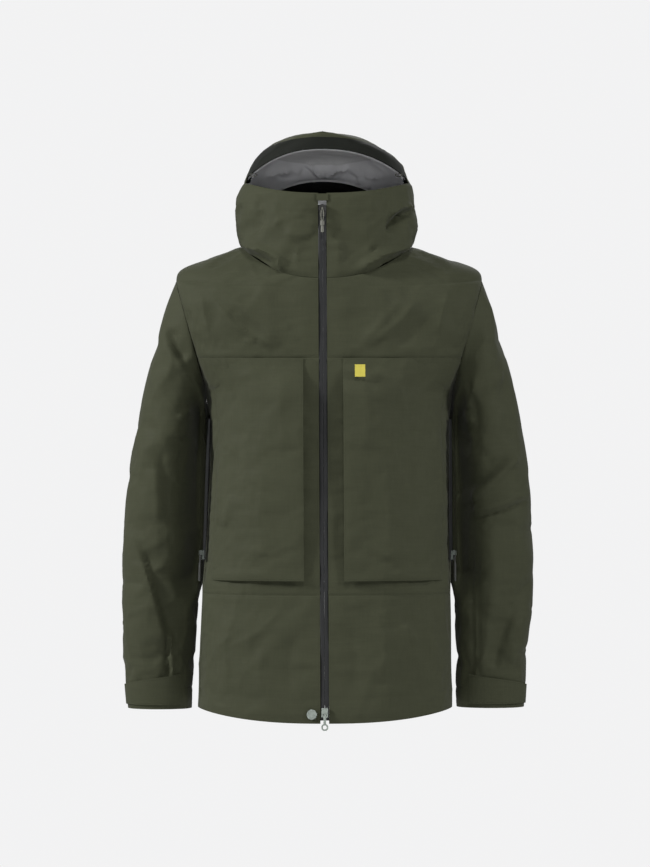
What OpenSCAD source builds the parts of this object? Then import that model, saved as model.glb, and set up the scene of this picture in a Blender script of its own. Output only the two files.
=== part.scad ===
// Hardshell jacket with a fixed hood, a two-way front zip, two crossover chest
// pockets, side vents and hook-and-loop cuff tabs. It stands in its worn shape.
// Origin: the hanger loop, inside the back of the neck.
// +X is the wearer's left, +Y the wearer's back and +Z up.

/* [Body] */
// Height from the hem to the hanger loop
body_drop = 737; // [725:1:750]
// Height from the waist seam to the hanger loop
waist_drop = 541; // [530:1:550]
// Height from the yoke seam to the hanger loop
yoke_drop = 175; // [168:1:182]
// How far the hem stands in front of the hanger loop
hem_reach = 222; // [215:1:228]
// How far the front leans back per millimetre of height
front_lean = 0.089; // [0.08:0.001:0.095]
// Depth of an armhole
armhole_depth = 156; // [146:1:160]

/* [Sleeves] */
// Depth of a sleeve at the upper arm
arm_depth = 142; // [136:1:148]
// Depth of a sleeve at the cuff
cuff_depth = 88; // [84:1:94]
// Height of the cuff band
cuff_height = 32; // [28:1:36]

/* [Cloth] */
// Thickness of a shell panel with its seams
cloth = 2.4; // [2:0.1:3]
// Gap between two sewn panels
seam_gap = 0.6; // [0.4:0.1:1]
// How far the chest pockets stand off the front
pocket_stand = 12.5; // [12:0.5:14]

/* [Zips] */
// Width of the front zip that shows
zip_width = 13; // [12:0.5:14]
// Thickness of the coated zip tape
zip_thick = 1.4; // [1:0.1:1.8]
// Length of a zip slider
slider_length = 22; // [20:1:24]

/* [Hidden] */

shell_colour = [0.27, 0.28, 0.22];
brim_colour = [0.16, 0.17, 0.15];
lining_colour = [0.5, 0.5, 0.51];
dark_colour = [0.08, 0.08, 0.08];
metal_colour = [0.62, 0.64, 0.62];
round_fn = 48;

// ---- Front zip line: straight, leaning back as it rises ----
function zip_x(z) = -0.005 * z;
function zip_y(z) = -hem_reach + (z + body_drop) * front_lean;
zip_dir = [-0.005, front_lean, 1] / norm([-0.005, front_lean, 1]);

// ---- Rings. Each is [x right, x left, y back, y side, z front, z side, z back, squareness] ----
hem_ring = [-195, 203, 48, -96, -body_drop, -718, -728, 2.5];
low_ring = [-193, 202, 49, -95, -650, -650, -650, 2.5];
waist_ring = [-188, 201, 52, -92, -waist_drop, -waist_drop, -waist_drop, 2.5];
rib_ring = [-180, 200, 64, -79, -426, -426, -426, 2.5];
chest_ring = [-176, 199, 84, -58, -300, -300, -300, 2.5];
underarm_ring = [-180, 202, 92, -46, -230, -230, -230, 2.6];
yoke_ring = [-203, 222, 96, -38, -yoke_drop, -yoke_drop, -yoke_drop, 3];
blade_ring = [-214, 235, 95, -36, -130, -130, -130, 3];
upper_ring = [-223, 244, 88, -35, -92, -92, -92, 3];
point_ring = [-226, 247, 70, -35, -66, -52, -46, 2.4];
slope_ring = [-190, 209, 50, -34, -58, -21, -14, 2.3];
neck_ring = [-129, 141, 30, -40, -51, 2, 12, 2.4];
collar_low_ring = [-133, 146, 36, -40, -20, 30, 18, 2.4];
collar_mid_ring = [-134, 142, 39, -38, 34, 68, 24, 2.4];
collar_top_ring = [-124, 139, 41, -30, 82, 103, 30, 2.4];
brim_ring = [-123, 136, 82, -20, 150, 108, 62, 2.3];
hood_mid_ring = [-114, 127, 107, -14, 160, 132, 104, 2.2];
hood_high_ring = [-92, 97, 96, -8, 169, 157, 148, 2.1];
hood_crown_ring = [-52, 56, 52, -6, 175, 175, 172, 2];

function power(v, p) = sign(v) * pow(abs(v), p);

// Point of a ring. Turn 0 is the front, 90 the wearer's left and 180 the back.
function ring_point(r, turn) =
    let (xc = zip_x(r[4]),
        reach = sin(turn) < 0 ? xc - r[0] : r[1] - xc,
        depth = cos(turn) > 0 ? r[3] - zip_y(r[4]) : r[2] - r[3],
        e = 2 / r[7],
        zc = cos(turn) > 0 ? r[4] : r[6])
    [xc + reach * power(sin(turn), e), r[3] - depth * power(cos(turn), e),
        zc * pow(cos(turn), 2) + r[5] * pow(sin(turn), 2)];

// Turn at which a ring stands dx to one side of the zip line
function turn_at(r, side, dx) =
    asin(pow(dx / (side > 0 ? r[1] - zip_x(r[4]) : zip_x(r[4]) - r[0]), r[7] / 2));

function between(a, b, f) = a + (b - a) * f;

// ---- Armholes: a flat oval from the underarm to the shoulder point ----
arm_y = -35;
underarm_z = -222;
point_z = -52;
function underarm_x(side) = side > 0 ? 204 : -183;
function point_x(side) = side > 0 ? 247 : -226;
function arm_point(side, face, z) =
    let (f = min(1, max(0, (z - underarm_z) / (point_z - underarm_z))))
    [between(underarm_x(side), point_x(side), f),
        arm_y - face * armhole_depth * sqrt(f * (1 - f)), z];

side_turn = 78;
// Point of the body. s runs from 0 at the middle to 1 at the armhole, the side seam or
// the shoulder line. face is 1 for the front and -1 for the back.
function body_point(r, side, face, s, start) =
    let (t_end = r[5] >= point_z ? 90 : r[5] > underarm_z ? 75 : side_turn,
        t_start = face > 0 ? turn_at(r, side, start) : 0,
        t = between(t_start, t_end, s),
        turn = face > 0 ? t : 180 - t,
        end_turn = face > 0 ? t_end : 180 - t_end,
        shift = r[5] > underarm_z && r[5] < point_z
            ? arm_point(side, face, r[5]) - ring_point(r, side * end_turn) : [0, 0, 0])
    ring_point(r, side * turn) + shift * pow(s, 2);

// ---- Shells between an outer and an inner grid of points ----
function unit(v) = v / norm(v);
function toward(p, core, depth) = p + depth * unit(core - p);
function body_core(p) = [4, -60, min(p[2], -130)];
function neck_core(p) = [4, -45, p[2]];
hood_core = [6, -30, 40];

function cell(a, b, c, d) = [[a, b, c], [a, c, d]];
module shell(outer, inner) {
    rows = len(outer);
    cols = len(outer[0]);
    count = rows * cols;
    points = [for (g = [outer, inner]) for (row = g) for (p = row) p];
    faces = [
        for (i = [0 : rows - 2]) for (j = [0 : cols - 2])
            let (a = i * cols + j, b = a + 1, c = b + cols, d = a + cols)
            each concat(cell(a, d, c, b), cell(a + count, b + count, c + count, d + count)),
        for (j = [0 : cols - 2])
            let (a = j, b = (rows - 1) * cols + j)
            each concat(cell(a, a + 1, a + 1 + count, a + count),
                cell(b, b + count, b + 1 + count, b + 1)),
        for (i = [0 : rows - 2])
            let (a = i * cols, b = i * cols + cols - 1)
            each concat(cell(a, a + count, a + cols + count, a + cols),
                cell(b, b + cols, b + cols + count, b + count))];
    polyhedron(points, faces);
}

// A shell on the body's surface. rings run upwards and turns from the wearer's right to
// the left, so a panel on the wearer's right counts its steps backwards.
module body_panel(rings, side, face, start, steps, lift = 0, from = 0, to = 1) {
    order = side * face > 0 ? [0 : steps] : [steps : -1 : 0];
    grid = [for (r = rings) [for (k = order)
        body_point(r, side, face, between(from, to, k / steps), start)]];
    shell([for (row = grid) [for (p = row) toward(p, body_core(p), -lift)]],
        [for (row = grid) [for (p = row) toward(p, body_core(p), cloth - lift)]]);
}

// A shell on full rings, between two turns
module ring_panel(rings, turn_a, turn_b, steps, depth_a, depth_b) {
    grid = [for (r = rings) [for (k = [0 : steps])
        ring_point(r, between(turn_a, turn_b, k / steps))]];
    shell([for (row = grid) [for (p = row) toward(p, body_core(p), depth_a)]],
        [for (row = grid) [for (p = row) toward(p, body_core(p), depth_b)]]);
}

// A ring part of the way between two others
function ring_between(a, b, f) = between(a, b, f);
function ring_above(a, b) = ring_between(a, b, seam_gap / max(1, abs(b[5] - a[5])));
function ring_below(a, b) = ring_between(b, a, seam_gap / max(1, abs(b[5] - a[5])));

// ---- Body panels ----
zip_edge = zip_width / 2 + seam_gap;
seam_share = 0.995;

module lower_front(side) color(shell_colour)
    body_panel([hem_ring, low_ring, ring_below(low_ring, waist_ring)],
        side, 1, zip_edge, 9, to = seam_share);

module main_front(side) color(shell_colour)
    body_panel([ring_above(waist_ring, rib_ring), rib_ring, chest_ring, underarm_ring,
        ring_between(underarm_ring, yoke_ring, 0.5), ring_below(underarm_ring, yoke_ring)],
        side, 1, zip_edge, 9, to = seam_share);

module front_yoke(side) color(shell_colour)
    body_panel([ring_above(yoke_ring, blade_ring), blade_ring, upper_ring, point_ring,
        slope_ring, ring_below(slope_ring, neck_ring)],
        side, 1, zip_edge, 9, to = seam_share);

module side_panel(side) color(shell_colour)
    ring_panel([hem_ring, low_ring, waist_ring, rib_ring, chest_ring,
        ring_below(chest_ring, underarm_ring)],
        side > 0 ? side_turn : -180 + side_turn, side > 0 ? 180 - side_turn : -side_turn,
        5, 0, cloth);

// Both halves of a back shell, meeting at the centre back
module back_shell(rings) {
    order = [for (k = [-9 : 9]) k];
    grid = [for (r = rings) [for (k = order)
        body_point(r, k < 0 ? 1 : -1, -1, abs(k) / 9 * seam_share, 0)]];
    shell(grid, [for (row = grid) [for (p = row) toward(p, body_core(p), cloth)]]);
}

module back_panel() color(shell_colour)
    back_shell([hem_ring, low_ring, waist_ring, rib_ring, chest_ring, underarm_ring,
        ring_between(underarm_ring, yoke_ring, 0.5), ring_below(underarm_ring, yoke_ring)]);

module back_yoke() color(shell_colour)
    back_shell([ring_above(yoke_ring, blade_ring), blade_ring, upper_ring, point_ring,
        slope_ring, ring_below(slope_ring, neck_ring)]);

facing_height = 34;
module hem_facing() color(brim_colour)
    ring_panel([hem_ring, ring_between(hem_ring, low_ring, facing_height / 87)],
        12, 348, 40, cloth + 0.6, cloth + 1.8);

// ---- Chest pockets: panels that stand off the front and open beside the zip ----
pocket_start = 31;
pocket_foot = -519;
module chest_pocket(side) color(shell_colour) {
    foot_ring = ring_between(waist_ring, rib_ring, (pocket_foot + waist_drop) / 115);
    rings = [foot_ring, rib_ring, chest_ring, ring_between(underarm_ring, yoke_ring, 0.3),
        ring_below(underarm_ring, yoke_ring)];
    stands = [0.45, 1, 1, 1, 0];
    turn_end = 66;
    steps = 8;
    order = side > 0 ? [0 : steps] : [steps : -1 : 0];
    grid = [for (r = rings) [for (k = order)
        let (a = turn_at(r, side, pocket_start))
        ring_point(r, side * between(a, turn_end, k / steps))]];
    lift = [for (share = stands) [for (k = order)
        seam_gap + pocket_stand * share * (1 - pow(k / steps, 2))]];
    shell([for (i = [0 : len(grid) - 1]) [for (j = [0 : steps])
            grid[i][j] - [0, lift[i][j] + cloth, 0]]],
        [for (i = [0 : len(grid) - 1]) [for (j = [0 : steps])
            grid[i][j] - [0, lift[i][j], 0]]]);
}

// ---- Collar ----
module collar(side) color(shell_colour) {
    steps = 12;
    rings = [ring_above(neck_ring, collar_low_ring), collar_low_ring, collar_mid_ring,
        ring_below(collar_mid_ring, collar_top_ring)];
    order = side > 0 ? [0 : steps] : [steps : -1 : 0];
    grid = [for (r = rings) [for (k = order)
        ring_point(r, side * between(turn_at(r, side, zip_edge), 179.7, k / steps))]];
    shell(grid, [for (row = grid) [for (p = row) toward(p, neck_core(p), cloth)]]);
}

// Inner collar: the back of the neck, standing free inside the hood
inner_low_ring = [-98, 106, 8, -60, -30, 4, -8, 2.2];
inner_top_ring = [-92, 98, 14, -56, 60, 92, 96, 2.2];
module inner_collar() color(dark_colour) {
    rings = [inner_low_ring, ring_between(inner_low_ring, inner_top_ring, 0.5), inner_top_ring];
    grid = [for (r = rings) [for (k = [0 : 16]) ring_point(r, between(82, 278, k / 16))]];
    shell(grid, [for (row = grid) [for (p = row) toward(p, neck_core(p), cloth)]]);
}

module neck_binding() color(lining_colour) {
    low = inner_top_ring + [0, 0, 0, 0, 0.4, 0.4, 0.4, 0];
    high = inner_top_ring + [0, 0, 0, 0, 3.4, 3.4, 3.4, 0];
    grid = [for (r = [low, high]) [for (k = [0 : 16]) ring_point(r, between(82, 278, k / 16))]];
    shell(grid, [for (row = grid) [for (p = row) toward(p, neck_core(p), cloth)]]);
}

// Hanger loop: a flat woven tape, bowed off the inner collar
loop_width = 60;
loop_bow = 14;
module hanger_loop() color(dark_colour)
    translate([0, 5.2, 0]) difference() {
        scale([loop_width / (2 * loop_bow), 1, 1])
            translate([0, 0, -4]) cylinder(r = loop_bow, h = 8, $fn = round_fn);
        scale([(loop_width - 6) / (2 * (loop_bow - 1.6)), 1, 1])
            translate([0, 0, -5]) cylinder(r = loop_bow - 1.6, h = 10, $fn = round_fn);
        translate([-loop_width, 0, -5]) cube([2 * loop_width, 2 * loop_bow, 10]);
    }

// ---- Front zip. Its pieces are laid out flat and then leant along the zip line ----
zip_foot = -732;
zip_head = 66;
zip_angle = atan(front_lean);
module on_zip(z) translate([zip_x(z), zip_y(z), z])
    rotate([-zip_angle, 0, 0]) rotate([0, -0.286, 0]) children();

chain_width = 3;
module zip_tape(side) color(dark_colour) on_zip(zip_foot)
    translate([side > 0 ? chain_width / 2 + 0.2 : -zip_width / 2, 0, 0])
        cube([zip_width / 2 - chain_width / 2 - 0.2, zip_thick, (zip_head - zip_foot)]);

module zip_chain(side) color(dark_colour) on_zip(zip_foot)
    translate([side > 0 ? 0.1 : -chain_width / 2, 0.2, 0])
        cube([chain_width / 2 - 0.1, 2, (zip_head - zip_foot)]);

// Slider body: a lower wing below the pull's bridge
module slider(width, length, thick) {
    translate([-width / 2, -thick, -length / 2]) cube([width, thick, length * 0.72]);
    translate([-width / 2, -thick, length * 0.1]) difference() {
        rotate([-90, 0, 0]) translate([width / 2, 0, 0])
            cylinder(r = width / 2, h = thick, $fn = round_fn);
        translate([-1, -1, -width]) cube([width + 2, thick + 2, width]);
    }
    for (x = [-width / 2, width / 2 - 1.6]) translate([x, -thick - 3.4, -length * 0.1])
        cube([1.6, 3.6, 7]);
}
slider_gap = 0.5;
slider_thick = 4;
slider_width = 10;
module main_slider(z) on_zip(z) translate([0, -slider_gap, 0])
    slider(slider_width, slider_length, slider_thick);

top_z = 56;
bottom_z = -722;
pin_out = slider_gap + slider_thick + 1.7;
pull_pin_up = 1.3;
// A hinge pin between a slider's two cheeks
module pull_pin(width) translate([-width / 2 + 2, 0, 0]) rotate([0, 90, 0])
    cylinder(r = 1.1, h = width - 4, $fn = round_fn);

module on_pull(z) on_zip(z) translate([0, -pin_out, pull_pin_up]) children();

module top_slider() color(dark_colour) main_slider(top_z);
cord_radius = 1.1;
// Two strands of cord from the pin down to the tip
module top_pull_cord() color(dark_colour) on_pull(top_z) {
    pull_pin(slider_width);
    for (x = [-1.9, 1.9]) translate([x, 0, -20]) cylinder(r = cord_radius, h = 20, $fn = 24);
}
module top_pull_tip() color(dark_colour) on_pull(top_z) translate([0, 0, -20.2]) {
    translate([0, 0, -7]) cylinder(r = 3.3, h = 7, $fn = round_fn);
    translate([0, 0, -18]) cylinder(r = 2.4, h = 11, $fn = round_fn);
}

module bottom_slider() color(metal_colour) on_zip(bottom_z) mirror([0, 0, 1])
    translate([0, -slider_gap, 0]) slider(slider_width, slider_length * 0.8, slider_thick);

// Flat metal pull with a round hole
plate_length = 24;
plate_radius = 5.5;
module pull_plate(length, r) {
    pull_pin(slider_width);
    translate([0, 1, 0]) rotate([90, 0, 0]) difference() {
        union() {
            translate([-2, -length + r, 0]) cube([4, length - r, 2]);
            translate([0, -length + r, 0]) cylinder(r = r, h = 2, $fn = round_fn);
        }
        translate([0, -length + r, -1]) cylinder(r = r * 0.55, h = 4, $fn = round_fn);
    }
}
bottom_pull_up = -2.2;
module bottom_pull() color(metal_colour) on_zip(bottom_z)
    translate([0, -pin_out, bottom_pull_up]) pull_plate(plate_length, plate_radius);

// Flap over the top of the zip, and the guard behind it
module zip_garage() color(shell_colour) on_zip(zip_head + 3)
    translate([-9, -2.4, 0]) cube([18, 2, 11]);
module chin_guard() color(lining_colour) on_zip(zip_head - 74)
    translate([-13, cloth + 1.6, 0]) cube([26, 1.4, 82]);

// ---- Side vents: straight zips on the side seams ----
vent_foot = -490;
vent_head = -268;
vent_width = 16;
function vent_low(side) = ring_point(ring_between(waist_ring, rib_ring, 51 / 115),
    side * side_turn);
function vent_high(side) = ring_point(ring_between(chest_ring, underarm_ring, 32 / 70),
    side * side_turn);
vent_out_angle = 14.5;
// Frame on a vent: local -Y points out of the cloth and local +Z runs up the zip
module on_vent(side, up) {
    low = vent_low(side);
    dir = unit(vent_high(side) - low);
    out = [side * cos(vent_out_angle), -sin(vent_out_angle), 0];
    face = unit(out - dir * (out * dir));
    across = cross(dir, face);
    place = low + dir * up;
    multmatrix([[across[0], -face[0], dir[0], place[0]],
        [across[1], -face[1], dir[1], place[1]],
        [across[2], -face[2], dir[2], place[2]]]) children();
}
vent_lift = 4;
module side_zip(side) color(dark_colour) on_vent(side, 0)
    translate([-vent_width / 2, -vent_lift, 0])
        cube([vent_width, 1.2, vent_head - vent_foot]);
module on_vent_slider(side) on_vent(side, 10) translate([0, -vent_lift - 0.5, 0]) children();
module side_slider(side) color(metal_colour) on_vent_slider(side)
    slider(9, 18, 3.4);
module side_pull(side) color(dark_colour) on_vent_slider(side)
    translate([0, -5.1, 1.7]) {
        pull_pin(9);
        translate([0, 0, -16]) cylinder(r = 1.4, h = 16, $fn = 24);
        translate([0, 0, -44]) cylinder(r = 2.3, h = 28, $fn = round_fn);
    }

// ---- Hem snap, on the wearer's right of the zip ----
snap_x = -20;
snap_z = -723;
snap_radius = 7.8;
module on_snap() translate([zip_x(snap_z) + snap_x, zip_y(snap_z), snap_z])
    rotate([90 - zip_angle, 0, 0]) children();
module hem_snap_cap() color(metal_colour) on_snap() translate([0, 0, 0.3]) {
    cylinder(r = snap_radius, h = 1.6, $fn = round_fn);
    translate([0, 0, 1.6]) difference() {
        cylinder(r = snap_radius - 1, h = 1.2, $fn = round_fn);
        translate([0, 0, 0.5]) cylinder(r = snap_radius - 2.6, h = 1, $fn = round_fn);
    }
}
module hem_snap_stud() color(metal_colour) on_snap() translate([0, 0, -4.9]) difference() {
    cylinder(r = snap_radius - 1.2, h = 2, $fn = round_fn);
    translate([0, 0, -1]) cylinder(r = 2.2, h = 2.2, $fn = round_fn);
}

// ---- Cord locks: a housing with a sprung button ----
lock_radius = 6.5;
lock_length = 17;
button_radius = 4;
bore_radius = button_radius + 0.05;
module lock_housing() difference() {
    cylinder(r = lock_radius, h = lock_length, $fn = round_fn);
    translate([0, 0, 6]) cylinder(r = bore_radius, h = lock_length, $fn = round_fn);
}
module lock_button() translate([0, 0, 11])
    cylinder(r = button_radius, h = lock_length - 11 + 5, $fn = round_fn);

function hem_lock_place(side) = ring_point(hem_ring, side * 62) + [-side * 17, 15, 14];
module hem_lock(side) color(dark_colour) translate(hem_lock_place(side)) lock_housing();
module hem_plunger(side) color(dark_colour) translate(hem_lock_place(side)) lock_button();

// ---- Chest tab: a plain woven label ----
module chest_tab() color([0.84, 0.78, 0.32]) translate([58, zip_y(-195) - 15.2, -195])
    rotate([-zip_angle, 0, 3]) translate([-8, -1.4, -9.5]) cube([16, 1, 19]);

// ---- Hood: swings back from the nape ----
hood_split = ring_between(collar_top_ring, brim_ring, 0.13);
opening_turn = 76;
module hood_shell(rings, turn_a, turn_b, steps, depth_a, depth_b) {
    grid = [for (r = rings) [for (k = [0 : steps])
        ring_point(r, between(turn_a, turn_b, k / steps))]];
    shell([for (row = grid) [for (p = row) toward(p, hood_core, depth_a)]],
        [for (row = grid) [for (p = row) toward(p, hood_core, depth_b)]]);
}
hood_rings = [brim_ring, hood_mid_ring, hood_high_ring,
    ring_below(hood_high_ring, hood_crown_ring)];
side_from = 77;
side_to = 138;
module hood_side(side) color(shell_colour)
    hood_shell(concat([hood_split], hood_rings),
        side > 0 ? side_from : -side_to, side > 0 ? side_to : -side_from, 7, 0, cloth);
module hood_centre() color(shell_colour) {
    hood_shell(concat([hood_split], hood_rings), side_to + 0.4, 360 - side_to - 0.4,
        10, 0, cloth);
    crown = [for (k = [0 : 39]) ring_point(hood_crown_ring, k * 9)];
    top = [5, 0, 177];
    low = [for (p = crown) p - [0, 0, cloth]];
    count = len(crown);
    polyhedron(concat(crown, low, [top, top - [0, 0, cloth]]),
        [for (k = [0 : count - 1]) let (n = (k + 1) % count)
            each [[2 * count, n, k], [2 * count + 1, k + count, n + count],
                [k, n, n + count], [k, n + count, k + count]]]);
}
module brim() color(brim_colour)
    hood_shell(hood_rings, -side_from + 0.5, side_from - 0.5, 16, 0, cloth);
lining_gap = 1;
module hood_lining() color(lining_colour) {
    lining_rings = [hood_split, brim_ring, hood_mid_ring, hood_high_ring];
    hood_shell(lining_rings, side_from + 6, 354 - side_from, 24,
        cloth + lining_gap, 2 * cloth + lining_gap);
}
module hood_eyelets() color(dark_colour) for (side = [-1, 1])
    translate(ring_point(brim_ring, side * 70) + [0, -3.4, 7])
        rotate([90, 0, side * 50]) difference() {
            cylinder(r = 4, h = 1.6, $fn = round_fn);
            translate([0, 0, -1]) cylinder(r = 2, h = 4, $fn = round_fn);
        }
module on_hood_lock() translate(ring_point(hood_mid_ring, 180) + [0, lock_radius + 2, 0])
    rotate([14, 0, 0]) children();
module hood_lock() color(dark_colour) on_hood_lock() lock_housing();
module hood_plunger() color(dark_colour) on_hood_lock() lock_button();

// ---- Sleeves. Each ring is [inner x, inner z, outer x, outer z, middle y, depth] ----
function mix_depth(f) = between(arm_depth, cuff_depth, f);
right_sleeve = [
    [-183, -222, -226, -52, arm_y, armhole_depth],
    [-184, -237, -243, -91, -36, 152],
    [-185, -254, -262, -145, -37, 147],
    [-184, -278, -278, -205, -38, arm_depth],
    [-183, -316, -292, -282, -39, mix_depth(0.02)],
    [-183, -372, -305, -352, -40, mix_depth(0.04)],
    [-184, -440, -312, -434, -41, mix_depth(0.08)],
    [-192, -519, -314.5, -516, -44, mix_depth(0.16)],
    [-197, -580, -314.5, -580, -49, mix_depth(0.36)],
    [-201, -640, -313, -640, -55, mix_depth(0.66)],
    [-204.5, -690, -309, -690, -60, mix_depth(0.9)],
    [-205.5, -723, -306, -723, -62, cuff_depth]];
left_sleeve = [
    [204, -222, 247, -52, arm_y, armhole_depth],
    [205, -237, 263, -91, -36, 152],
    [206, -254, 281, -145, -37, 147],
    [205, -278, 299, -205, -38, arm_depth],
    [204, -316, 315, -282, -39, mix_depth(0.02)],
    [205, -372, 325, -352, -40, mix_depth(0.04)],
    [206, -440, 330, -434, -41, mix_depth(0.08)],
    [206, -519, 332, -516, -44, mix_depth(0.16)],
    [209, -580, 328, -580, -49, mix_depth(0.36)],
    [211, -640, 321, -640, -55, mix_depth(0.66)],
    [210, -690, 319, -690, -60, mix_depth(0.9)],
    [211, -721, 317, -721, -62, cuff_depth]];
function sleeve_rings(side) = side > 0 ? left_sleeve : right_sleeve;

// Point of a sleeve ring. Turn 0 is the inner line, 90 the front and 180 the outer line.
function sleeve_point(r, turn, inset) =
    let (middle = [(r[0] + r[2]) / 2, r[4], (r[1] + r[3]) / 2],
        half = [(r[0] - r[2]) / 2, 0, (r[1] - r[3]) / 2],
        length = norm(half))
    middle + half * ((length - inset) / length) * power(cos(turn), 0.92)
        - [0, (r[5] / 2 - inset) * power(sin(turn), 0.92), 0];

sleeve_steps = 24;
module tube(rings, side, inset_a, inset_b) {
    count = len(rings) * sleeve_steps;
    turns = [for (k = [0 : sleeve_steps - 1]) k * 360 / sleeve_steps];
    grids = [for (inset = [inset_a, inset_b]) [for (r = rings) [for (t = turns)
        sleeve_point(r, t, inset)]]];
    points = [for (g = grids) for (row = g) for (p = row) p];
    quads = [
        for (i = [0 : len(rings) - 2]) for (j = [0 : sleeve_steps - 1])
            let (n = (j + 1) % sleeve_steps, a = i * sleeve_steps + j,
                b = i * sleeve_steps + n, c = b + sleeve_steps, d = a + sleeve_steps)
            each concat(cell(a, d, c, b), cell(a + count, b + count, c + count, d + count)),
        for (j = [0 : sleeve_steps - 1])
            let (n = (j + 1) % sleeve_steps, e = count - sleeve_steps)
            each concat(cell(j, n, n + count, j + count),
                cell(j + e, j + e + count, n + e + count, n + e))];
    polyhedron(points, side < 0 ? quads : [for (q = quads) [q[2], q[1], q[0]]]);
}
function pick(list, a, b) = [for (k = [a : b]) list[k]];
function step_in(a, b, gap) = between(a, b, gap / abs(b[1] - a[1]));
elbow = 7;
module upper_sleeve(side) color(shell_colour) {
    r = sleeve_rings(side);
    tube(concat([step_in(r[0], r[1], 1)], pick(r, 1, elbow - 1),
        [step_in(r[elbow], r[elbow - 1], seam_gap / 2)]), side, 0, cloth);
}
module lower_sleeve(side) color(shell_colour) {
    r = sleeve_rings(side);
    tube(concat([step_in(r[elbow], r[elbow + 1], seam_gap / 2)], pick(r, 8, 9),
        [step_in(r[10], r[9], seam_gap / 2)]), side, 0, cloth);
}
module cuff(side) color(shell_colour) {
    r = sleeve_rings(side);
    tube([step_in(r[10], r[11], seam_gap / 2), r[11]], side, 0, cloth + 0.8);
}

// Cuff tab: wraps the front of the cuff from a seam on its outer side
tab_lift = 1.2;
tab_thick = 1.8;
tab_high_z = 668;
tab_low_z = 686;
tab_steps = 8;
// Outline of the tab at one distance from the cuff: its lower edge, then its slanted top
function tab_grid(r, lift) =
    let (low = between(r[10], r[11], 0.8), turns = [for (k = [0 : tab_steps])
        between(172, 52, k / tab_steps)])
    [[for (t = turns) sleeve_point(low, t, -lift)],
        [for (k = [0 : tab_steps])
            let (f = (between(tab_low_z, tab_high_z, k / tab_steps) - 640) / 50)
            sleeve_point(between(r[9], r[10], f), turns[k], -lift)]];
module cuff_tab(side) color(shell_colour) {
    r = sleeve_rings(side);
    outer = tab_grid(r, tab_lift + tab_thick);
    inner = tab_grid(r, tab_lift);
    if (side < 0) shell(outer, inner);
    else shell(inner, outer);
}

main_front(1);  // front_left
main_front(-1);  // front_right
lower_front(1);  // lower_front_left
lower_front(-1);  // lower_front_right
front_yoke(1);  // yoke_left
front_yoke(-1);  // yoke_right
back_panel();
back_yoke();
side_panel(1);  // side_panel_left
side_panel(-1);  // side_panel_right
hem_facing();
chest_pocket(1);  // chest_pocket_left
chest_pocket(-1);  // chest_pocket_right
collar(1);  // collar_left
collar(-1);  // collar_right
inner_collar();
neck_binding();
hanger_loop();
zip_garage();
chin_guard();
zip_tape(1);  // main_zip_tape_left
zip_tape(-1);  // main_zip_tape_right
zip_chain(1);  // main_zip_chain_left
zip_chain(-1);  // main_zip_chain_right
side_zip(1);  // side_zip_left
side_zip(-1);  // side_zip_right
hem_snap_cap();
hem_snap_stud();
hem_lock(1);  // hem_lock_left
hem_lock(-1);  // hem_lock_right
chest_tab();
top_slider();
top_pull_cord();
top_pull_tip();
bottom_slider();
bottom_pull();
side_slider(1);  // side_slider_left
side_slider(-1);  // side_slider_right
side_pull(1);  // side_pull_left
side_pull(-1);  // side_pull_right
hem_plunger(1);  // hem_plunger_left
hem_plunger(-1);  // hem_plunger_right
hood_side(1);  // hood_side_left
hood_side(-1);  // hood_side_right
hood_centre();
brim();
hood_lining();
hood_eyelets();
hood_lock();
hood_plunger();
upper_sleeve(1);  // upper_sleeve_left
upper_sleeve(-1);  // upper_sleeve_right
lower_sleeve(1);  // lower_sleeve_left
lower_sleeve(-1);  // lower_sleeve_right
cuff(1);  // cuff_left
cuff(-1);  // cuff_right
cuff_tab(1);  // cuff_tab_left
cuff_tab(-1);  // cuff_tab_right
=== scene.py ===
from math import atan, cos, pi, radians, sin

import bpy
import numpy as np
from mathutils import Matrix, Vector


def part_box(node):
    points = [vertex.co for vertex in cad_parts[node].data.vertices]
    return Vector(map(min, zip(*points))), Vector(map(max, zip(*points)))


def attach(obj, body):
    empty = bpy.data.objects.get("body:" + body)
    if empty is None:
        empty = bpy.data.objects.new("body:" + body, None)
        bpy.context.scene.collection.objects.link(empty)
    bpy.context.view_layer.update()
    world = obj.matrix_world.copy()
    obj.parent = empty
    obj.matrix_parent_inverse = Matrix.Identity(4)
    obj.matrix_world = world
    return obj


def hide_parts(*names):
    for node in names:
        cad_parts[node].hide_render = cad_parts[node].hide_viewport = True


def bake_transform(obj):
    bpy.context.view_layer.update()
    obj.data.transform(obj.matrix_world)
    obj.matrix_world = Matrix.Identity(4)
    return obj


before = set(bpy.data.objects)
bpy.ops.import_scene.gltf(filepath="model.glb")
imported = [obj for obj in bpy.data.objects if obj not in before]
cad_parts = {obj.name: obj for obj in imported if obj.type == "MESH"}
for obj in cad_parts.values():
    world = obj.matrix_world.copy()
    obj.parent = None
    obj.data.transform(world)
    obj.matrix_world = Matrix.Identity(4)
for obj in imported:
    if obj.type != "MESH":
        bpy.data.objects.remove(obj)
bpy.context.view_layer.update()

MM = 0.001
FLOOR_SIZE, FLOOR_Z = 4.4, -1.35


# ---------------------------------------------------------------- camera and light
def make_camera():
    """Long lens, level with the chest, looking at the front."""
    distance = 6.0
    view_height = 1.345
    data = bpy.data.cameras.new("camera")
    camera = bpy.data.objects.new("camera", data)
    bpy.context.scene.collection.objects.link(camera)
    camera.location = (0.004, -distance - 0.15, -0.292)
    camera.rotation_euler = (pi / 2, 0, 0)
    data.sensor_fit = "VERTICAL"
    data.sensor_height = 36
    data.lens = 36 * distance / view_height
    data.clip_end = 100
    bpy.context.scene.camera = camera


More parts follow.
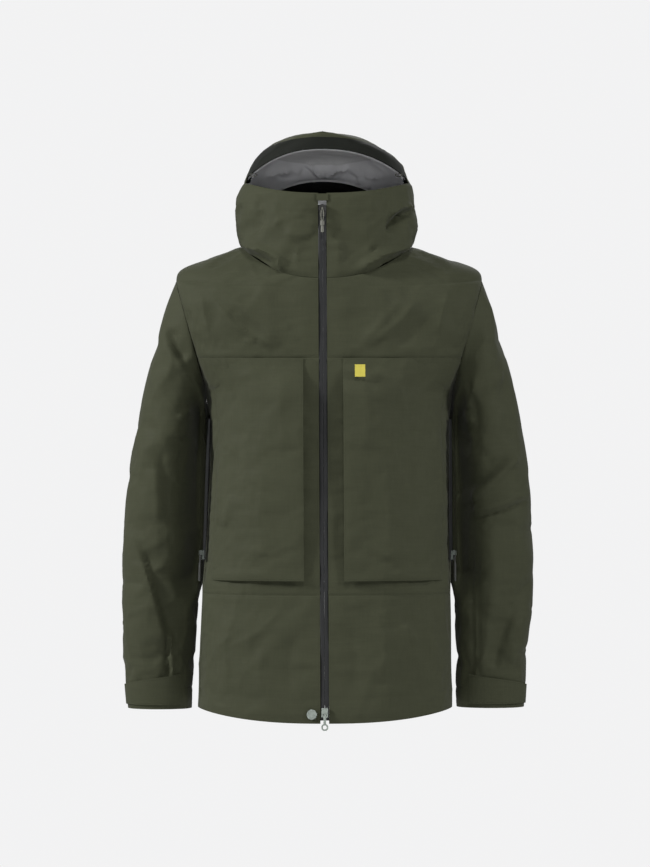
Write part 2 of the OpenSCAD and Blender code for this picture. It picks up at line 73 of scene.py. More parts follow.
def area_light(name, place, size, power, aim=(0, -0.1, -0.25)):
    data = bpy.data.lights.new(name, "AREA")
    data.shape = "RECTANGLE"
    data.size, data.size_y = size
    data.energy = power
    light = bpy.data.objects.new(name, data)
    bpy.context.scene.collection.objects.link(light)
    light.location = place
    aim_line = Vector(aim) - Vector(place)
    light.rotation_euler = aim_line.to_track_quat("-Z", "Y").to_euler()


def make_light():
    """A white studio: bright behind the jacket, softboxes at the front and both sides."""
    world = bpy.data.worlds.new("studio")
    bpy.context.scene.world = world
    world.use_nodes = True
    tree = world.node_tree
    wall = tree.nodes["Background"]
    wall.inputs["Color"].default_value = (0.89, 0.89, 0.895, 1)
    room = tree.nodes.new("ShaderNodeBackground")
    room.inputs["Color"].default_value = (0.9, 0.95, 1.0, 1)
    room.inputs["Strength"].default_value = 0.052
    seen = tree.nodes.new("ShaderNodeLightPath")
    mix = tree.nodes.new("ShaderNodeMixShader")
    tree.links.new(seen.outputs["Is Camera Ray"], mix.inputs[0])
    tree.links.new(room.outputs[0], mix.inputs[1])
    tree.links.new(wall.outputs[0], mix.inputs[2])
    tree.links.new(mix.outputs[0], tree.nodes["World Output"].inputs["Surface"])
    area_light("left_box", (-3.3, -1.25, 1.5), (0.6, 0.9), 158)
    area_light("right_box", (3.0, -1.6, 1.2), (0.7, 1.1), 66)
    area_light("top", (0.2, -2.3, 3.0), (0.9, 0.6), 46, (0, -0.1, -0.1))
    area_light("front", (0.1, -4.4, -0.5), (0.8, 0.8), 28, (0, -0.1, 0.1))
    area_light("back", (0.4, 2.4, 1.5), (2.0, 1.2), 26, (0, -0.1, -0.2))


def make_floor():
    """A pale floor under the hanging jacket, below the camera's view."""
    bpy.ops.mesh.primitive_plane_add(size=FLOOR_SIZE, location=(0, 0, FLOOR_Z))
    floor = bpy.context.object
    floor.name = "floor"
    material = bpy.data.materials.new("floor")
    material.use_nodes = True
    shader = material.node_tree.nodes["Principled BSDF"]
    shader.inputs["Base Color"].default_value = (0.85, 0.85, 0.86, 1)
    shader.inputs["Roughness"].default_value = 0.9
    floor.data.materials.append(material)


make_camera()
make_light()
make_floor()


# ---------------------------------------------------------------- materials
class Nodes:
    """Short names for building one material's node tree."""

    def __init__(self, name):
        self.material = bpy.data.materials.new(name)
        self.material.use_nodes = True
        self.tree = self.material.node_tree
        self.shader = self.tree.nodes["Principled BSDF"]
        self.place = self.add("ShaderNodeTexCoord").outputs["Object"]

    def add(self, kind, **settings):
        node = self.tree.nodes.new(kind)
        for key, value in settings.items():
            if key in node.inputs:
                node.inputs[key].default_value = value
            else:
                setattr(node, key, value)
        return node

    def join(self, output, socket):
        self.tree.links.new(output, socket)

    def noise(self, scale, detail=3.0, rough=0.5, stretch=(1, 1, 1)):
        mapping = self.add("ShaderNodeMapping")
        mapping.inputs["Scale"].default_value = stretch
        self.join(self.place, mapping.inputs["Vector"])
        node = self.add("ShaderNodeTexNoise", Scale=scale, Detail=detail, Roughness=rough)
        self.join(mapping.outputs["Vector"], node.inputs["Vector"])
        return node.outputs["Fac"]

    def wave(self, scale, direction, warp=0.0):
        node = self.add("ShaderNodeTexWave", Scale=scale, Distortion=warp)
        node.bands_direction = direction
        self.join(self.place, node.inputs["Vector"])
        return node.outputs["Fac"]

    def maths(self, operation, a, b=None):
        node = self.add("ShaderNodeMath", operation=operation)
        for socket, value in zip(node.inputs, (a, b)):
            if value is None:
                continue
            if isinstance(value, (int, float)):
                socket.default_value = value
            else:
                self.join(value, socket)
        return node.outputs[0]

    def ramp(self, factor, low, high, start=0.3, end=0.7):
        node = self.add("ShaderNodeValToRGB")
        node.color_ramp.elements[0].position = start
        node.color_ramp.elements[1].position = end
        node.color_ramp.elements[0].color = (*low, 1)
        node.color_ramp.elements[1].color = (*high, 1)
        self.join(factor, node.inputs["Fac"])
        return node.outputs["Color"]

    def spread(self, factor, low, high):
        node = self.add("ShaderNodeMapRange")
        node.inputs["To Min"].default_value = low
        node.inputs["To Max"].default_value = high
        self.join(factor, node.inputs["Value"])
        return node.outputs["Result"]

    def attribute(self, name):
        return self.add("ShaderNodeAttribute", attribute_name=name).outputs["Fac"]

    def mix(self, factor, a, b):
        node = self.add("ShaderNodeMix", data_type="RGBA")
        if isinstance(factor, (int, float)):
            node.inputs[0].default_value = factor
        else:
            self.join(factor, node.inputs[0])
        for socket, value in ((node.inputs[6], a), (node.inputs[7], b)):
            if isinstance(value, tuple):
                socket.default_value = (*value, 1)
            else:
                self.join(value, socket)
        return node.outputs[2]

    def colour(self, output):
        self.join(output, self.shader.inputs["Base Color"])

    def roughness(self, output):
        self.join(output, self.shader.inputs["Roughness"])

    def bump(self, height, distance, strength=1.0):
        node = self.add("ShaderNodeBump", Strength=strength, Distance=distance)
        self.join(height, node.inputs["Height"])
        self.join(node.outputs["Normal"], self.shader.inputs["Normal"])

    def set(self, **values):
        for key, value in values.items():
            self.shader.inputs[key.replace("_", " ")].default_value = value
        return self


def scaled(colour, factor):
    return tuple(min(1.0, c * factor) for c in colour)


STITCH_IN, STITCH_HALF_WIDTH = 2.6, 0.35


def woven(name, colour, thread=0.55, sheen=0.05, rough=0.74, relief=0.00006, mottle=0.07,
          stitches=True):
    """Tight plain weave: fine crossed threads, faint cloudy tone, stitch rows at seams."""
    m = Nodes(name)
    cloud = m.noise(9, 4, 0.6)
    fleck = m.noise(900, 2, 0.5)
    upright = m.noise(420, 3, 0.6, (1, 1, 0.06))
    level = m.noise(420, 3, 0.6, (0.06, 0.06, 1))
    base = m.ramp(cloud, scaled(colour, 1 - mottle), scaled(colour, 1 + mottle))
    base = m.mix(m.spread(fleck, 0.0, 0.35), base, scaled(colour, 0.72))
    base = m.mix(m.spread(upright, 0.0, 0.5), base, scaled(colour, 1.45))
    base = m.mix(m.spread(level, 0.0, 0.45), base, scaled(colour, 0.6))
    pitch = 1 / (thread * MM) / 6.2832 * 0.31
    warp, weft = m.wave(pitch, "X", 0.4), m.wave(pitch, "Z", 0.4)
    height = m.maths("MULTIPLY", warp, weft)
    if stitches:
        edge = m.attribute("edge")
        run = m.attribute("run")
        off = m.maths("ABSOLUTE", m.maths("SUBTRACT", edge, STITCH_IN * MM))
        seam = m.maths("LESS_THAN", off, STITCH_HALF_WIDTH * MM)
        dash = m.maths("GREATER_THAN", m.maths("SINE", m.maths("MULTIPLY", run, 2100.0)), -0.45)
        thread_row = m.maths("MULTIPLY", seam, dash)
        base = m.mix(m.maths("MULTIPLY", thread_row, 0.5), base, scaled(colour, 0.62))
        height = m.maths("ADD", height, m.maths("MULTIPLY", thread_row, 3.0))
    m.colour(base)
    m.roughness(m.spread(m.noise(60, 3), rough - 0.06, rough + 0.08))
    m.bump(height, relief, 0.6)
    m.set(Sheen_Weight=sheen, Sheen_Roughness=0.45, Specular_IOR_Level=0.16)
    return m.material


def knit(name, colour):
    """Soft knit backer of the lining."""
    m = Nodes(name)
    cloud = m.noise(14, 4, 0.6)
    m.colour(m.ramp(cloud, scaled(colour, 0.9), scaled(colour, 1.1)))
    loops = m.maths("MULTIPLY", m.wave(130, "X", 0.8), m.wave(130, "Z", 0.8))
    m.bump(loops, 0.00012, 0.5)
    m.roughness(m.spread(m.noise(80, 2), 0.55, 0.75))
    m.set(Sheen_Weight=0.25, Sheen_Roughness=0.4)
    return m.material


def coated_tape(name, colour):
    """Rubbery film over the zip tape, a little worn at the lips."""
    m = Nodes(name)
    m.colour(m.ramp(m.noise(40, 5, 0.6), scaled(colour, 0.85), scaled(colour, 1.15)))
    m.roughness(m.spread(m.noise(300, 3), 0.42, 0.6))
    m.bump(m.noise(1500, 2), 0.00004, 0.5)
    m.set(Specular_IOR_Level=0.25)
    return m.material


def moulded(name, colour, rough=0.42):
    m = Nodes(name)
    m.colour(m.ramp(m.noise(90, 4), scaled(colour, 0.8), scaled(colour, 1.25)))
    m.roughness(m.spread(m.noise(500, 3), rough - 0.06, rough + 0.1))
    m.bump(m.noise(2500, 2), 0.00003, 0.5)
    return m.material


def bare_metal(name, colour, rough=0.28):
    m = Nodes(name)
    m.colour(m.ramp(m.noise(220, 5, 0.65), scaled(colour, 0.72), colour))
    m.roughness(m.spread(m.noise(700, 4, 0.6, (1, 1, 5)), rough - 0.08, rough + 0.14))
    m.bump(m.noise(1800, 3), 0.00003, 0.4)
    m.set(Metallic=1.0)
    return m.material


def braid(name, colour):
    """Braided cord: two crossing spiral waves."""
    m = Nodes(name)
    a = m.wave(420, "DIAGONAL")
    b = m.wave(420, "Z")
    m.colour(m.mix(m.maths("MULTIPLY", a, b), scaled(colour, 0.6), scaled(colour, 1.7)))
    m.bump(m.maths("MULTIPLY", a, b), 0.0002, 0.8)
    m.set(Roughness=0.7, Sheen_Weight=0.2)
    return m.material


OLIVE = (0.044, 0.0475, 0.0265)
SHELL = woven("shell", OLIVE)
# The shell's olive made about six times darker: painted shade for the brim, whose outer face turns
# downward. The hem facing takes the same colour.
SHADED_SHELL = woven("face_trim", (0.0075, 0.0088, 0.0062))
LINING = knit("lining", (0.84, 0.84, 0.86))
LINING_BAND = woven("lining_band", (0.78, 0.78, 0.785))
# Near-black: the real colour of the hook-and-loop and the hanger tape. On the inner collar it is
# painted shade, standing for the dark hollow inside the neck.
BLACK_AND_NECK_SHADE = woven("inner_black", (0.006, 0.006, 0.006), sheen=0.05, stitches=False)
ZIP = coated_tape("zip_tape", (0.0185, 0.0192, 0.0198))
ZIP_CHAIN = moulded("zip_chain", (0.02, 0.021, 0.024), 0.5)
SLIDER_PAINT = moulded("slider_paint", (0.03, 0.03, 0.028), 0.35)
METAL = bare_metal("metal", (0.25, 0.28, 0.255), 0.4)
CORD = braid("cord", (0.075, 0.078, 0.058))
PLASTIC = moulded("plastic", (0.03, 0.031, 0.027))
TAB = woven("tab", (0.56, 0.49, 0.085), thread=0.4, stitches=False)
SHELL_PLAIN = woven("shell_plain", OLIVE, stitches=False)
PULL_TIP = moulded("pull_tip", (0.12, 0.12, 0.10), 0.5)
PULL_DARK = moulded("pull_dark", (0.022, 0.023, 0.02), 0.5)
CORD_PALE = braid("cord_khaki", (0.17, 0.17, 0.135))


# ---------------------------------------------------------------- curves and rings
def smooth_rows(knots, values, places):
    """Monotone cubic through rows of values, for places between the knots."""
    x = np.asarray(knots, float)
    y = np.asarray(values, float)
    flat = y.reshape(len(x), -1)
    step = np.diff(x)[:, None]
    slope = np.diff(flat, axis=0) / step
    tangent = np.zeros_like(flat)
    tangent[0], tangent[-1] = slope[0], slope[-1]
    same = slope[1:] * slope[:-1] > 0
    w1 = 2 * step[1:] + step[:-1]
    w2 = step[1:] + 2 * step[:-1]
    with np.errstate(divide="ignore", invalid="ignore"):
        harmonic = (w1 + w2) / (w1 / slope[:-1] + w2 / slope[1:])
    tangent[1:-1] = np.where(same, harmonic, 0)
    p = np.clip(np.asarray(places, float), x[0], x[-1])
    i = np.clip(np.searchsorted(x, p, side="right") - 1, 0, len(x) - 2)
    h = (x[i + 1] - x[i])[:, None]
    t = (p[:, None] - x[i][:, None]) / h
    out = ((1 + 2 * t) * (1 - t) ** 2 * flat[i] + t * (1 - t) ** 2 * h * tangent[i]
           + t * t * (3 - 2 * t) * flat[i + 1] + t * t * (t - 1) * h * tangent[i + 1])
    return out.reshape((len(p),) + y.shape[1:])


HEM_REACH = 222
BODY_DROP = 737
FRONT_LEAN = 0.089


def zip_x(z):
    return -0.005 * z


def zip_y(z):
    return -HEM_REACH + (z + BODY_DROP) * FRONT_LEAN


# Rings of the body, in mm: x right, x left, y back, y side, z front, z side, z back, squareness
BODY_RINGS = [
    [-195, 203, 48, -96, -737, -718, -728, 2.5],
    [-193, 202, 49, -95, -650, -650, -650, 2.5],
    [-188, 201, 52, -92, -541, -541, -541, 2.5],
    [-180, 200, 64, -79, -426, -426, -426, 2.5],
    [-176, 199, 84, -58, -300, -300, -300, 2.5],
    [-180, 202, 92, -46, -230, -230, -230, 2.6],
    [-203, 222, 96, -38, -175, -175, -175, 3],
    [-214, 235, 95, -36, -130, -130, -130, 3],
    [-223, 244, 88, -35, -92, -92, -92, 3],
    [-226, 247, 70, -35, -66, -52, -46, 2.4],
    [-190, 209, 50, -34, -58, -21, -14, 2.3],
    [-129, 141, 30, -40, -51, 2, 12, 2.4],
]
# Height of each ring along the side of the body, then over the shoulder to the neck
BODY_KNOTS = [-718, -650, -541, -426, -300, -230, -175, -130, -92, -52, -4, 65]
NECK_RINGS = [
    [-129, 141, 30, -40, -51, 2, 12, 2.4],
    [-135, 148, 36, -40, -20, 30, 18, 2.4],
    [-135, 143, 39, -38, 34, 68, 24, 2.4],
    [-124, 139, 41, -30, 82, 103, 30, 2.4],
]
NECK_KNOTS = [0, 31, 85, 133]
HOOD_RINGS = [
    [-124, 139, 43, -29, 86, 103, 32, 2.4],
    [-123, 136, 82, -20, 150, 108, 62, 2.3],
    [-114, 127, 107, -14, 160, 132, 104, 2.2],
    [-92, 97, 96, -8, 169, 157, 148, 2.1],
    [-52, 56, 52, -6, 175, 175, 172, 2],
    [-14, 18, 12, -8, 177, 177, 177, 2],
]
HOOD_KNOTS = [0, 44, 82, 124, 172, 214]


def signed_power(v, p):
    return np.sign(v) * np.abs(v) ** p


def ring_points(rings, turns):
    """Points of rings (one per row) at turns in degrees, as rows x columns x 3."""
    r = [rings[:, k][:, None] for k in range(8)]
    s, c = np.sin(np.radians(turns)), np.cos(np.radians(turns))
    centre = zip_x(r[4])
    reach = np.where(s < 0, centre - r[0], r[1] - centre)
    depth = np.where(c > 0, r[3] - zip_y(r[4]), r[2] - r[3])
    e = 2 / r[7]
    z = np.where(c > 0, r[4], r[6]) * c * c + r[5] * s * s
    return np.stack([centre + reach * signed_power(s, e), r[3] - depth * signed_power(c, e), z], -1)


def turn_at(rings, side, dx):
    """Turn at which each ring stands dx to one side of the zip line."""
    centre = zip_x(rings[:, 4])
    reach = rings[:, 1] - centre if side > 0 else centre - rings[:, 0]
    return np.degrees(np.arcsin((dx / reach) ** (rings[:, 7] / 2)))


ARM_Y, ARM_DEPTH = -35, 156
UNDERARM_Z, POINT_Z = -222, -52
UNDERARM_X = {1: 204, -1: -183}
POINT_X = {1: 252, -1: -231}
SIDE_TURN = 78
VENT_TOP = -268


def arm_points(side, face, z):
    f = np.clip((z - UNDERARM_Z) / (POINT_Z - UNDERARM_Z), 0, 1)
    x = UNDERARM_X[side] + (POINT_X[side] - UNDERARM_X[side]) * f
    return np.stack([x, ARM_Y - face * ARM_DEPTH * np.sqrt(f * (1 - f)), z], -1)


def ease(t):
    t = np.clip(t, 0, 1)
    return t * t * (3 - 2 * t)


def end_turns(heights):
    """Turn of the side seam, the armhole edge or the shoulder line at each height."""
    f = (heights - UNDERARM_Z) / (POINT_Z - UNDERARM_Z)
    arm = 75 + 15 * np.abs(2 * np.clip(f, 0, 1) - 1) ** 3
    side = SIDE_TURN + (90 - SIDE_TURN) * ease((heights - VENT_TOP) / (UNDERARM_Z - VENT_TOP))
    return np.where(heights < UNDERARM_Z, side, arm)


def quarter(side, face, heights, shares, start):
    """A quarter of the body: rows are heights, columns run from the middle to the side."""
    rings = smooth_rows(BODY_KNOTS, BODY_RINGS, heights)
    t_end = end_turns(heights)
    t_start = turn_at(rings, side, start) if face > 0 else np.zeros(len(heights))
    turns = t_start[:, None] + (t_end - t_start)[:, None] * shares[None, :]
    edge = t_end
    if face < 0:
        turns = 180 - turns
        edge = 180 - edge
    points = ring_points(rings, side * turns)
    at_edge = ring_points(rings, side * edge[:, None])[:, 0]
    target = arm_points(side, face, np.clip(heights, UNDERARM_Z, POINT_Z))
    fade = ease((heights - VENT_TOP) / (UNDERARM_Z - VENT_TOP)) * ease((8 - heights) / 60)
    shift = (target - at_edge) * fade[:, None]
    shift[:, 2] = 0
    return points + shift[:, None, :] * (shares ** 2)[None, :, None]


def flank(side, heights, shares):
    """The side panel, from the front side seam to the back one."""
    front = quarter(side, 1, heights, np.array([1.0]), 7)[:, 0]
    back = quarter(side, -1, heights, np.array([1.0]), 0)[:, 0]
    rings = smooth_rows(BODY_KNOTS, BODY_RINGS, heights)
    t_end = end_turns(heights)
    turns = t_end[:, None] + (180 - 2 * t_end)[:, None] * shares[None, :]
    points = ring_points(rings, side * turns)
    ends = ((front - points[:, 0])[:, None] * (1 - shares)[None, :, None]
            + (back - points[:, -1])[:, None] * shares[None, :, None])
    return points + ends


# Rings of the sleeves, in mm: inner x, inner z, outer x, outer z, middle y, depth
RIGHT_SLEEVE = [
    [-183, -222, -231, -52, -35, 156], [-184, -237, -246, -91, -36, 152],
    [-185, -254, -262, -145, -37, 147], [-184, -278, -278, -205, -38, 142],
    [-183, -316, -292, -282, -39, 141], [-183, -372, -305, -352, -40, 140],
    [-184, -440, -312, -434, -41, 138], [-192, -519, -314.5, -516, -44, 133],
    [-197, -580, -314.5, -580, -49, 123], [-201, -640, -313, -640, -55, 106],
    [-204.5, -690, -309, -690, -60, 93], [-205.5, -723, -306, -723, -62, 88],
]
LEFT_SLEEVE = [
    [204, -222, 252, -52, -35, 156], [205, -237, 266, -91, -36, 152],
    [206, -254, 281, -145, -37, 147], [205, -278, 299, -205, -38, 142],
    [204, -316, 315, -282, -39, 141], [205, -372, 325, -352, -40, 140],
    [206, -440, 330, -434, -41, 138], [206, -519, 332, -516, -44, 133],
    [209, -580, 328, -580, -49, 123], [211, -640, 321, -640, -55, 106],
    [210, -690, 319, -690, -60, 93], [211, -721, 317, -721, -62, 88],
]
SLEEVE_RINGS = {1: LEFT_SLEEVE, -1: RIGHT_SLEEVE}
SLEEVE_KNOTS = [0, 28, 60, 98, 150, 210, 282, 362, 425, 485, 535, 568]
CUFF_TOP, CUFF_END = 535, 568


def sleeve_points(side, lengths, turns, lift=0.0):
    """Points of a sleeve. Turn 0 is the inner line, 90 the front and 180 the outer line."""
    r = smooth_rows(SLEEVE_KNOTS, SLEEVE_RINGS[side], lengths)
    middle = np.stack([(r[:, 0] + r[:, 2]) / 2, r[:, 4], (r[:, 1] + r[:, 3]) / 2], -1)
    half = np.stack([(r[:, 0] - r[:, 2]) / 2, 0 * r[:, 0], (r[:, 1] - r[:, 3]) / 2], -1)
    size = np.linalg.norm(half, axis=1, keepdims=True)
    half = half * (size + lift) / size
    c = signed_power(np.cos(np.radians(turns)), 0.92)
    s = signed_power(np.sin(np.radians(turns)), 0.92)
    points = middle[:, None, :] + half[:, None, :] * c[None, :, None]
    points[..., 1] -= (r[:, 5][:, None] / 2 + lift) * s[None, :]
    beside = (ease((lengths - 30) / 60) * ease((400 - lengths) / 50))[:, None]
    wide = (turns + 180) % 360 - 180
    behind = np.exp(-((wide + 34) / 24) ** 2)[None, :]
    hollow = np.exp(-((wide - 38) / 22) ** 2)[None, :]
    points[..., 0] -= side * 13 * beside * behind
    points[..., 1] += 42 * beside * hollow
    return points


# ---------------------------------------------------------------- cloth simulation
BENDING, GRAVITY, FARTHEST_MOVE = 2.5, 0.3, 22.0


def settle(points, pinned, wrap, grow, frames, hold):
    """Crumple a grid of points as cloth. pinned is 1 where it is sewn down, grow is how
    much larger it is cut than its place, and hold keeps the rest near. Returns the moves."""
    rows, cols = points.shape[:2]
    flat = points.reshape(-1, 3)
    keys = np.round(flat, 2)
    _, first, inverse = np.unique(keys, axis=0, return_index=True, return_inverse=True)
    inverse = inverse.reshape(-1)
    faces = []
    for i in range(rows - 1):
        for j in range(cols if wrap else cols - 1):
            n = (j + 1) % cols
            quad = [inverse[k] for k in (i * cols + j, i * cols + n, (i + 1) * cols + n,
                                         (i + 1) * cols + j)]
            ring = [q for k, q in enumerate(quad) if q != quad[k - 1]]
            if len(set(ring)) >= 3:
                faces.append(ring)
    mesh = bpy.data.meshes.new("cut")
    mesh.from_pydata((flat[first] * MM).tolist(), [], faces)
    obj = bpy.data.objects.new("cut", mesh)
    bpy.context.scene.collection.objects.link(obj)
    obj.shape_key_add(name="Basis")
    cut = obj.shape_key_add(name="cut")
    cut.data.foreach_set("co", (flat[first] * MM).astype(np.float32).ravel())
    cut.value = 0
    group = obj.vertex_groups.new(name="sewn")
    weight = np.maximum(pinned.reshape(-1)[first], hold)
    for level in np.unique(np.round(weight, 2)):
        members = np.nonzero(np.round(weight, 2) == level)[0].tolist()
        group.add(members, float(level), "REPLACE")
    modifier = obj.modifiers.new("cloth", "CLOTH")
    cloth = modifier.settings
    cloth.quality = 6
    cloth.mass = 0.25
    cloth.air_damping = 4
    cloth.tension_stiffness = cloth.compression_stiffness = 30
    cloth.shear_stiffness = 12
    cloth.bending_stiffness = BENDING
    cloth.tension_damping = cloth.compression_damping = 12
    cloth.shear_damping = 12
    cloth.bending_damping = 1.0
    cloth.vertex_group_mass = "sewn"
    cloth.pin_stiffness = 1.0
    cloth.rest_shape_key = cut
    cloth.shrink_min = -grow
    cloth.effector_weights.gravity = GRAVITY
    modifier.collision_settings.use_collision = False
    modifier.collision_settings.use_self_collision = False
    modifier.point_cache.frame_start = 1
    modifier.point_cache.frame_end = frames
    scene = bpy.context.scene
    for number in range(1, frames + 1):
        scene.frame_set(number)
    graph = bpy.context.evaluated_depsgraph_get()
    final = obj.evaluated_get(graph)
    out = np.empty(len(first) * 3, np.float32)
    final.data.vertices.foreach_get("co", out)
    moved = out.reshape(-1, 3).astype(float) / MM
    bpy.data.objects.remove(obj)
    scene.frame_set(1)
    shift = moved[inverse].reshape(points.shape) - points
    size = np.linalg.norm(shift, axis=-1, keepdims=True)
    return shift * np.minimum(1, FARTHEST_MOVE / np.maximum(size, 1e-9))


def resample(field, rows_from, rows_to, cols_from, cols_to):
    """Carry a coarse grid of values to finer rows and columns."""
    tall = smooth_rows(rows_from, field, rows_to)
    return np.swapaxes(smooth_rows(cols_from, np.swapaxes(tall, 0, 1), cols_to), 0, 1)


# ---------------------------------------------------------------- crumples and folds
LATTICE = 32


def cloudy(points, scale, seed, stretch=(1, 1, 1)):
    """Smooth value noise between -1 and 1 at points in mm, with features about scale wide."""
    table = np.random.default_rng(seed).uniform(-1, 1, (LATTICE,) * 3)
    p = points / (np.array(stretch) * scale) + 400.5
    i = np.floor(p).astype(int)
    f = p - i
    f = f * f * (3 - 2 * f)
    out = 0
    for dx in (0, 1):
        for dy in (0, 1):
            for dz in (0, 1):
                share = ((f[..., 0] if dx else 1 - f[..., 0])
                         * (f[..., 1] if dy else 1 - f[..., 1])
                         * (f[..., 2] if dz else 1 - f[..., 2]))
                corner = (i + (dx, dy, dz)) % LATTICE
                out = out + share * table[corner[..., 0], corner[..., 1], corner[..., 2]]
    return out


def ridged(points, scale, seed, stretch=(1, 1, 1)):
    """Creased noise: soft valleys between sharper ridges, about -0.5 to 0.5."""
    warp = np.stack([cloudy(points, scale * 1.7, seed + k) for k in (5, 6, 7)], -1)
    return 0.5 - np.sqrt(np.abs(cloudy(points + warp * scale * 0.6, scale, seed, stretch)))


def normals_of(grid, outward):
    """Unit normals of a grid of points, turned to the side that outward points to."""
    across = np.gradient(grid, axis=1)
    along = np.gradient(grid, axis=0)
    n = np.cross(across, along)
    n /= np.maximum(np.linalg.norm(n, axis=-1, keepdims=True), 1e-9)
    return n * np.sign(np.sum(n * outward, axis=-1, keepdims=True) + 1e-9)


def stroke_lift(x, z, strokes):
    """Height added by folds drawn as lines in the front view: (line, height, width). A pair
    of widths gives the slope on the left and on the right of a line drawn downwards."""
    total = np.zeros_like(x)
    for line, height, width in strokes:
        right, left = width if isinstance(width, tuple) else (width, width)
        best = np.full(x.shape, 1e9)
        share = np.zeros_like(x)
        turn = np.zeros_like(x)
        lengths = [np.hypot(b[0] - a[0], b[1] - a[1]) for a, b in zip(line, line[1:])]
        run = 0.0
        for (a, b), length in zip(zip(line, line[1:]), lengths):
            dx, dz = b[0] - a[0], b[1] - a[1]
            t = np.clip(((x - a[0]) * dx + (z - a[1]) * dz) / length ** 2, 0, 1)
            d = np.hypot(x - a[0] - t * dx, z - a[1] - t * dz)
            closer = d < best
            best = np.where(closer, d, best)
            share = np.where(closer, (run + t * length) / sum(lengths), share)
            turn = np.where(closer, dx * (z - a[1]) - dz * (x - a[0]), turn)
            run += length
        taper = np.clip(np.sin(pi * np.clip(share, 0.03, 0.97)) * 1.6, 0, 1)
        reach = np.where(turn > 0, left, right)
        total += height * taper * np.exp(-(best / reach) ** 1.05)
    return total


class Cloth:
    """A lofted cloth surface. base gives points for rows and columns, in mm; its crumples
    come from a simulation on a coarse grid, folds from strokes and creased noise."""

    def __init__(self, base, rows, cols, strokes=(), noise=(), inside=(0, -60, -300),
                 depth=1.0, quiet=(), grooves=()):
        self.base = base
        self.rows = np.asarray(rows, float)
        self.cols = np.asarray(cols, float)
        self.strokes = strokes
        self.noise = noise
        self.inside = np.array(inside, float)
        self.depth = depth
        self.quiet = quiet
        self.grooves = grooves
        self.shift = np.zeros((len(self.rows), len(self.cols), 3))

    def crumple(self, pinned, strength, wrap=False, **settings):
        """Settle the cloth, cut larger than its place and sewn where pinned."""
        cols = self.cols[:-1] if wrap else self.cols
        points = self.base(self.rows, cols)
        pin = pinned[:, :-1] if wrap else pinned
        moved = strength * settle(points, pin, wrap, **settings)
        if wrap:
            moved = np.concatenate([moved, moved[:, :1]], axis=1)
        self.shift = moved

    def at(self, rows, cols):
        rows, cols = np.asarray(rows, float), np.asarray(cols, float)
        points = self.base(rows, cols)
        calm = self.calm(rows, cols)
        for x, z, reach in self.quiet:
            near = np.hypot(points[..., 0] - x, points[..., 2] - z)
            calm = calm * np.where(points[..., 1] < 0, ease((near - reach) / 14), 1)
        shift = resample(self.shift, self.rows, rows, self.cols, cols)
        points = points + shift * (calm if self.quiet else np.ones_like(calm))[..., None]
        middle = self.inside + (points - self.inside) * np.array([0, 0, 1])
        normal = normals_of(points, points - middle)
        lift = np.zeros(points.shape[:2])
        if len(self.strokes):
            facing = ease((-normal[..., 1] + 0.1) / 0.4)
            lift += facing * self.depth * stroke_lift(points[..., 0], points[..., 2], self.strokes)
        for scale, height, seed, stretch in self.noise:
            lift += height * ridged(points, scale, seed, stretch)
        lift = lift * calm
        for row in self.grooves:
            lift -= 0.8 * np.exp(-((rows - row) / 1.8) ** 2)[:, None]
        return points + normal * lift[..., None]

    def calm(self, rows, cols):
        """Folds fade towards the cloth's sewn rims."""
        near = np.minimum(rows - self.rows[0], self.rows[-1] - rows)
        return (0.25 + 0.75 * ease(near / 14))[:, None] * np.ones(len(cols))[None, :]


# ---------------------------------------------------------------- meshes
def steps_between(start, stop, size):
    return np.linspace(start, stop, max(2, int(round(abs(stop - start) / size)) + 1))


def mesh_piece(name, verts, faces, material, smooth=True):
    mesh = bpy.data.meshes.new(name)
    mesh.from_pydata((np.asarray(verts) * MM).tolist(), [], faces)
    mesh.materials.append(material)
    mesh.validate()
    mesh.update()
    if smooth:
        mesh.shade_smooth()
    piece = bpy.data.objects.new(name, mesh)
    bpy.context.scene.collection.objects.link(piece)
    return piece


def grid_faces(rows, cols, wrap=False):
    across = cols if wrap else cols - 1
    return [(i * cols + j, i * cols + (j + 1) % cols, (i + 1) * cols + (j + 1) % cols,
             (i + 1) * cols + j) for i in range(rows - 1) for j in range(across)]


def outward_faces(points, faces, inside):
    """Faces turned so that their normals point away from the line through inside."""
    flat = points.reshape(-1, 3)
    total = 0.0
    for face in faces[::max(1, len(faces) // 200)]:
        a, b, c = (flat[k] for k in face[:3])
        n = np.cross(b - a, c - b)
        out = a - np.array([inside[0], inside[1], a[2]])
        total += float(n @ out)
    return faces if total >= 0 else [tuple(reversed(face)) for face in faces]


def thicken(piece, thickness):
    modifier = piece.modifiers.new("thickness", "SOLIDIFY")
    modifier.thickness = thickness * MM
    modifier.offset = -1.0
    modifier.use_even_offset = False
    modifier.use_rim = True
    bpy.context.view_layer.objects.active = piece
    piece.select_set(True)
    bpy.ops.object.modifier_apply(modifier="thickness")
    piece.select_set(False)
    piece.data.set_sharp_from_angle(angle=radians(55))


def mark_stitches(piece, edge, run):
    """Distance from the sewn edges and length along them, for the stitch rows."""
    for name, values in (("edge", edge), ("run", run)):
        attribute = piece.data.attributes.new(name, "FLOAT", "POINT")
        attribute.data.foreach_set("value", values.ravel().astype(np.float32) * MM)


def arc_lengths(points, axis):
    step = np.linalg.norm(np.diff(points, axis=axis), axis=-1)
    zero = np.zeros_like(np.take(step, [0], axis=axis))
    return np.concatenate([zero, np.cumsum(step, axis=axis)], axis=axis)


ROLL_REACH = 2.2


def rolled(points, normal, edge, roll):
    """Edges turned in a little, as a sewn seam draws the cloth down."""
    return points - normal * (roll * np.exp(-(edge / ROLL_REACH) ** 2))[..., None]


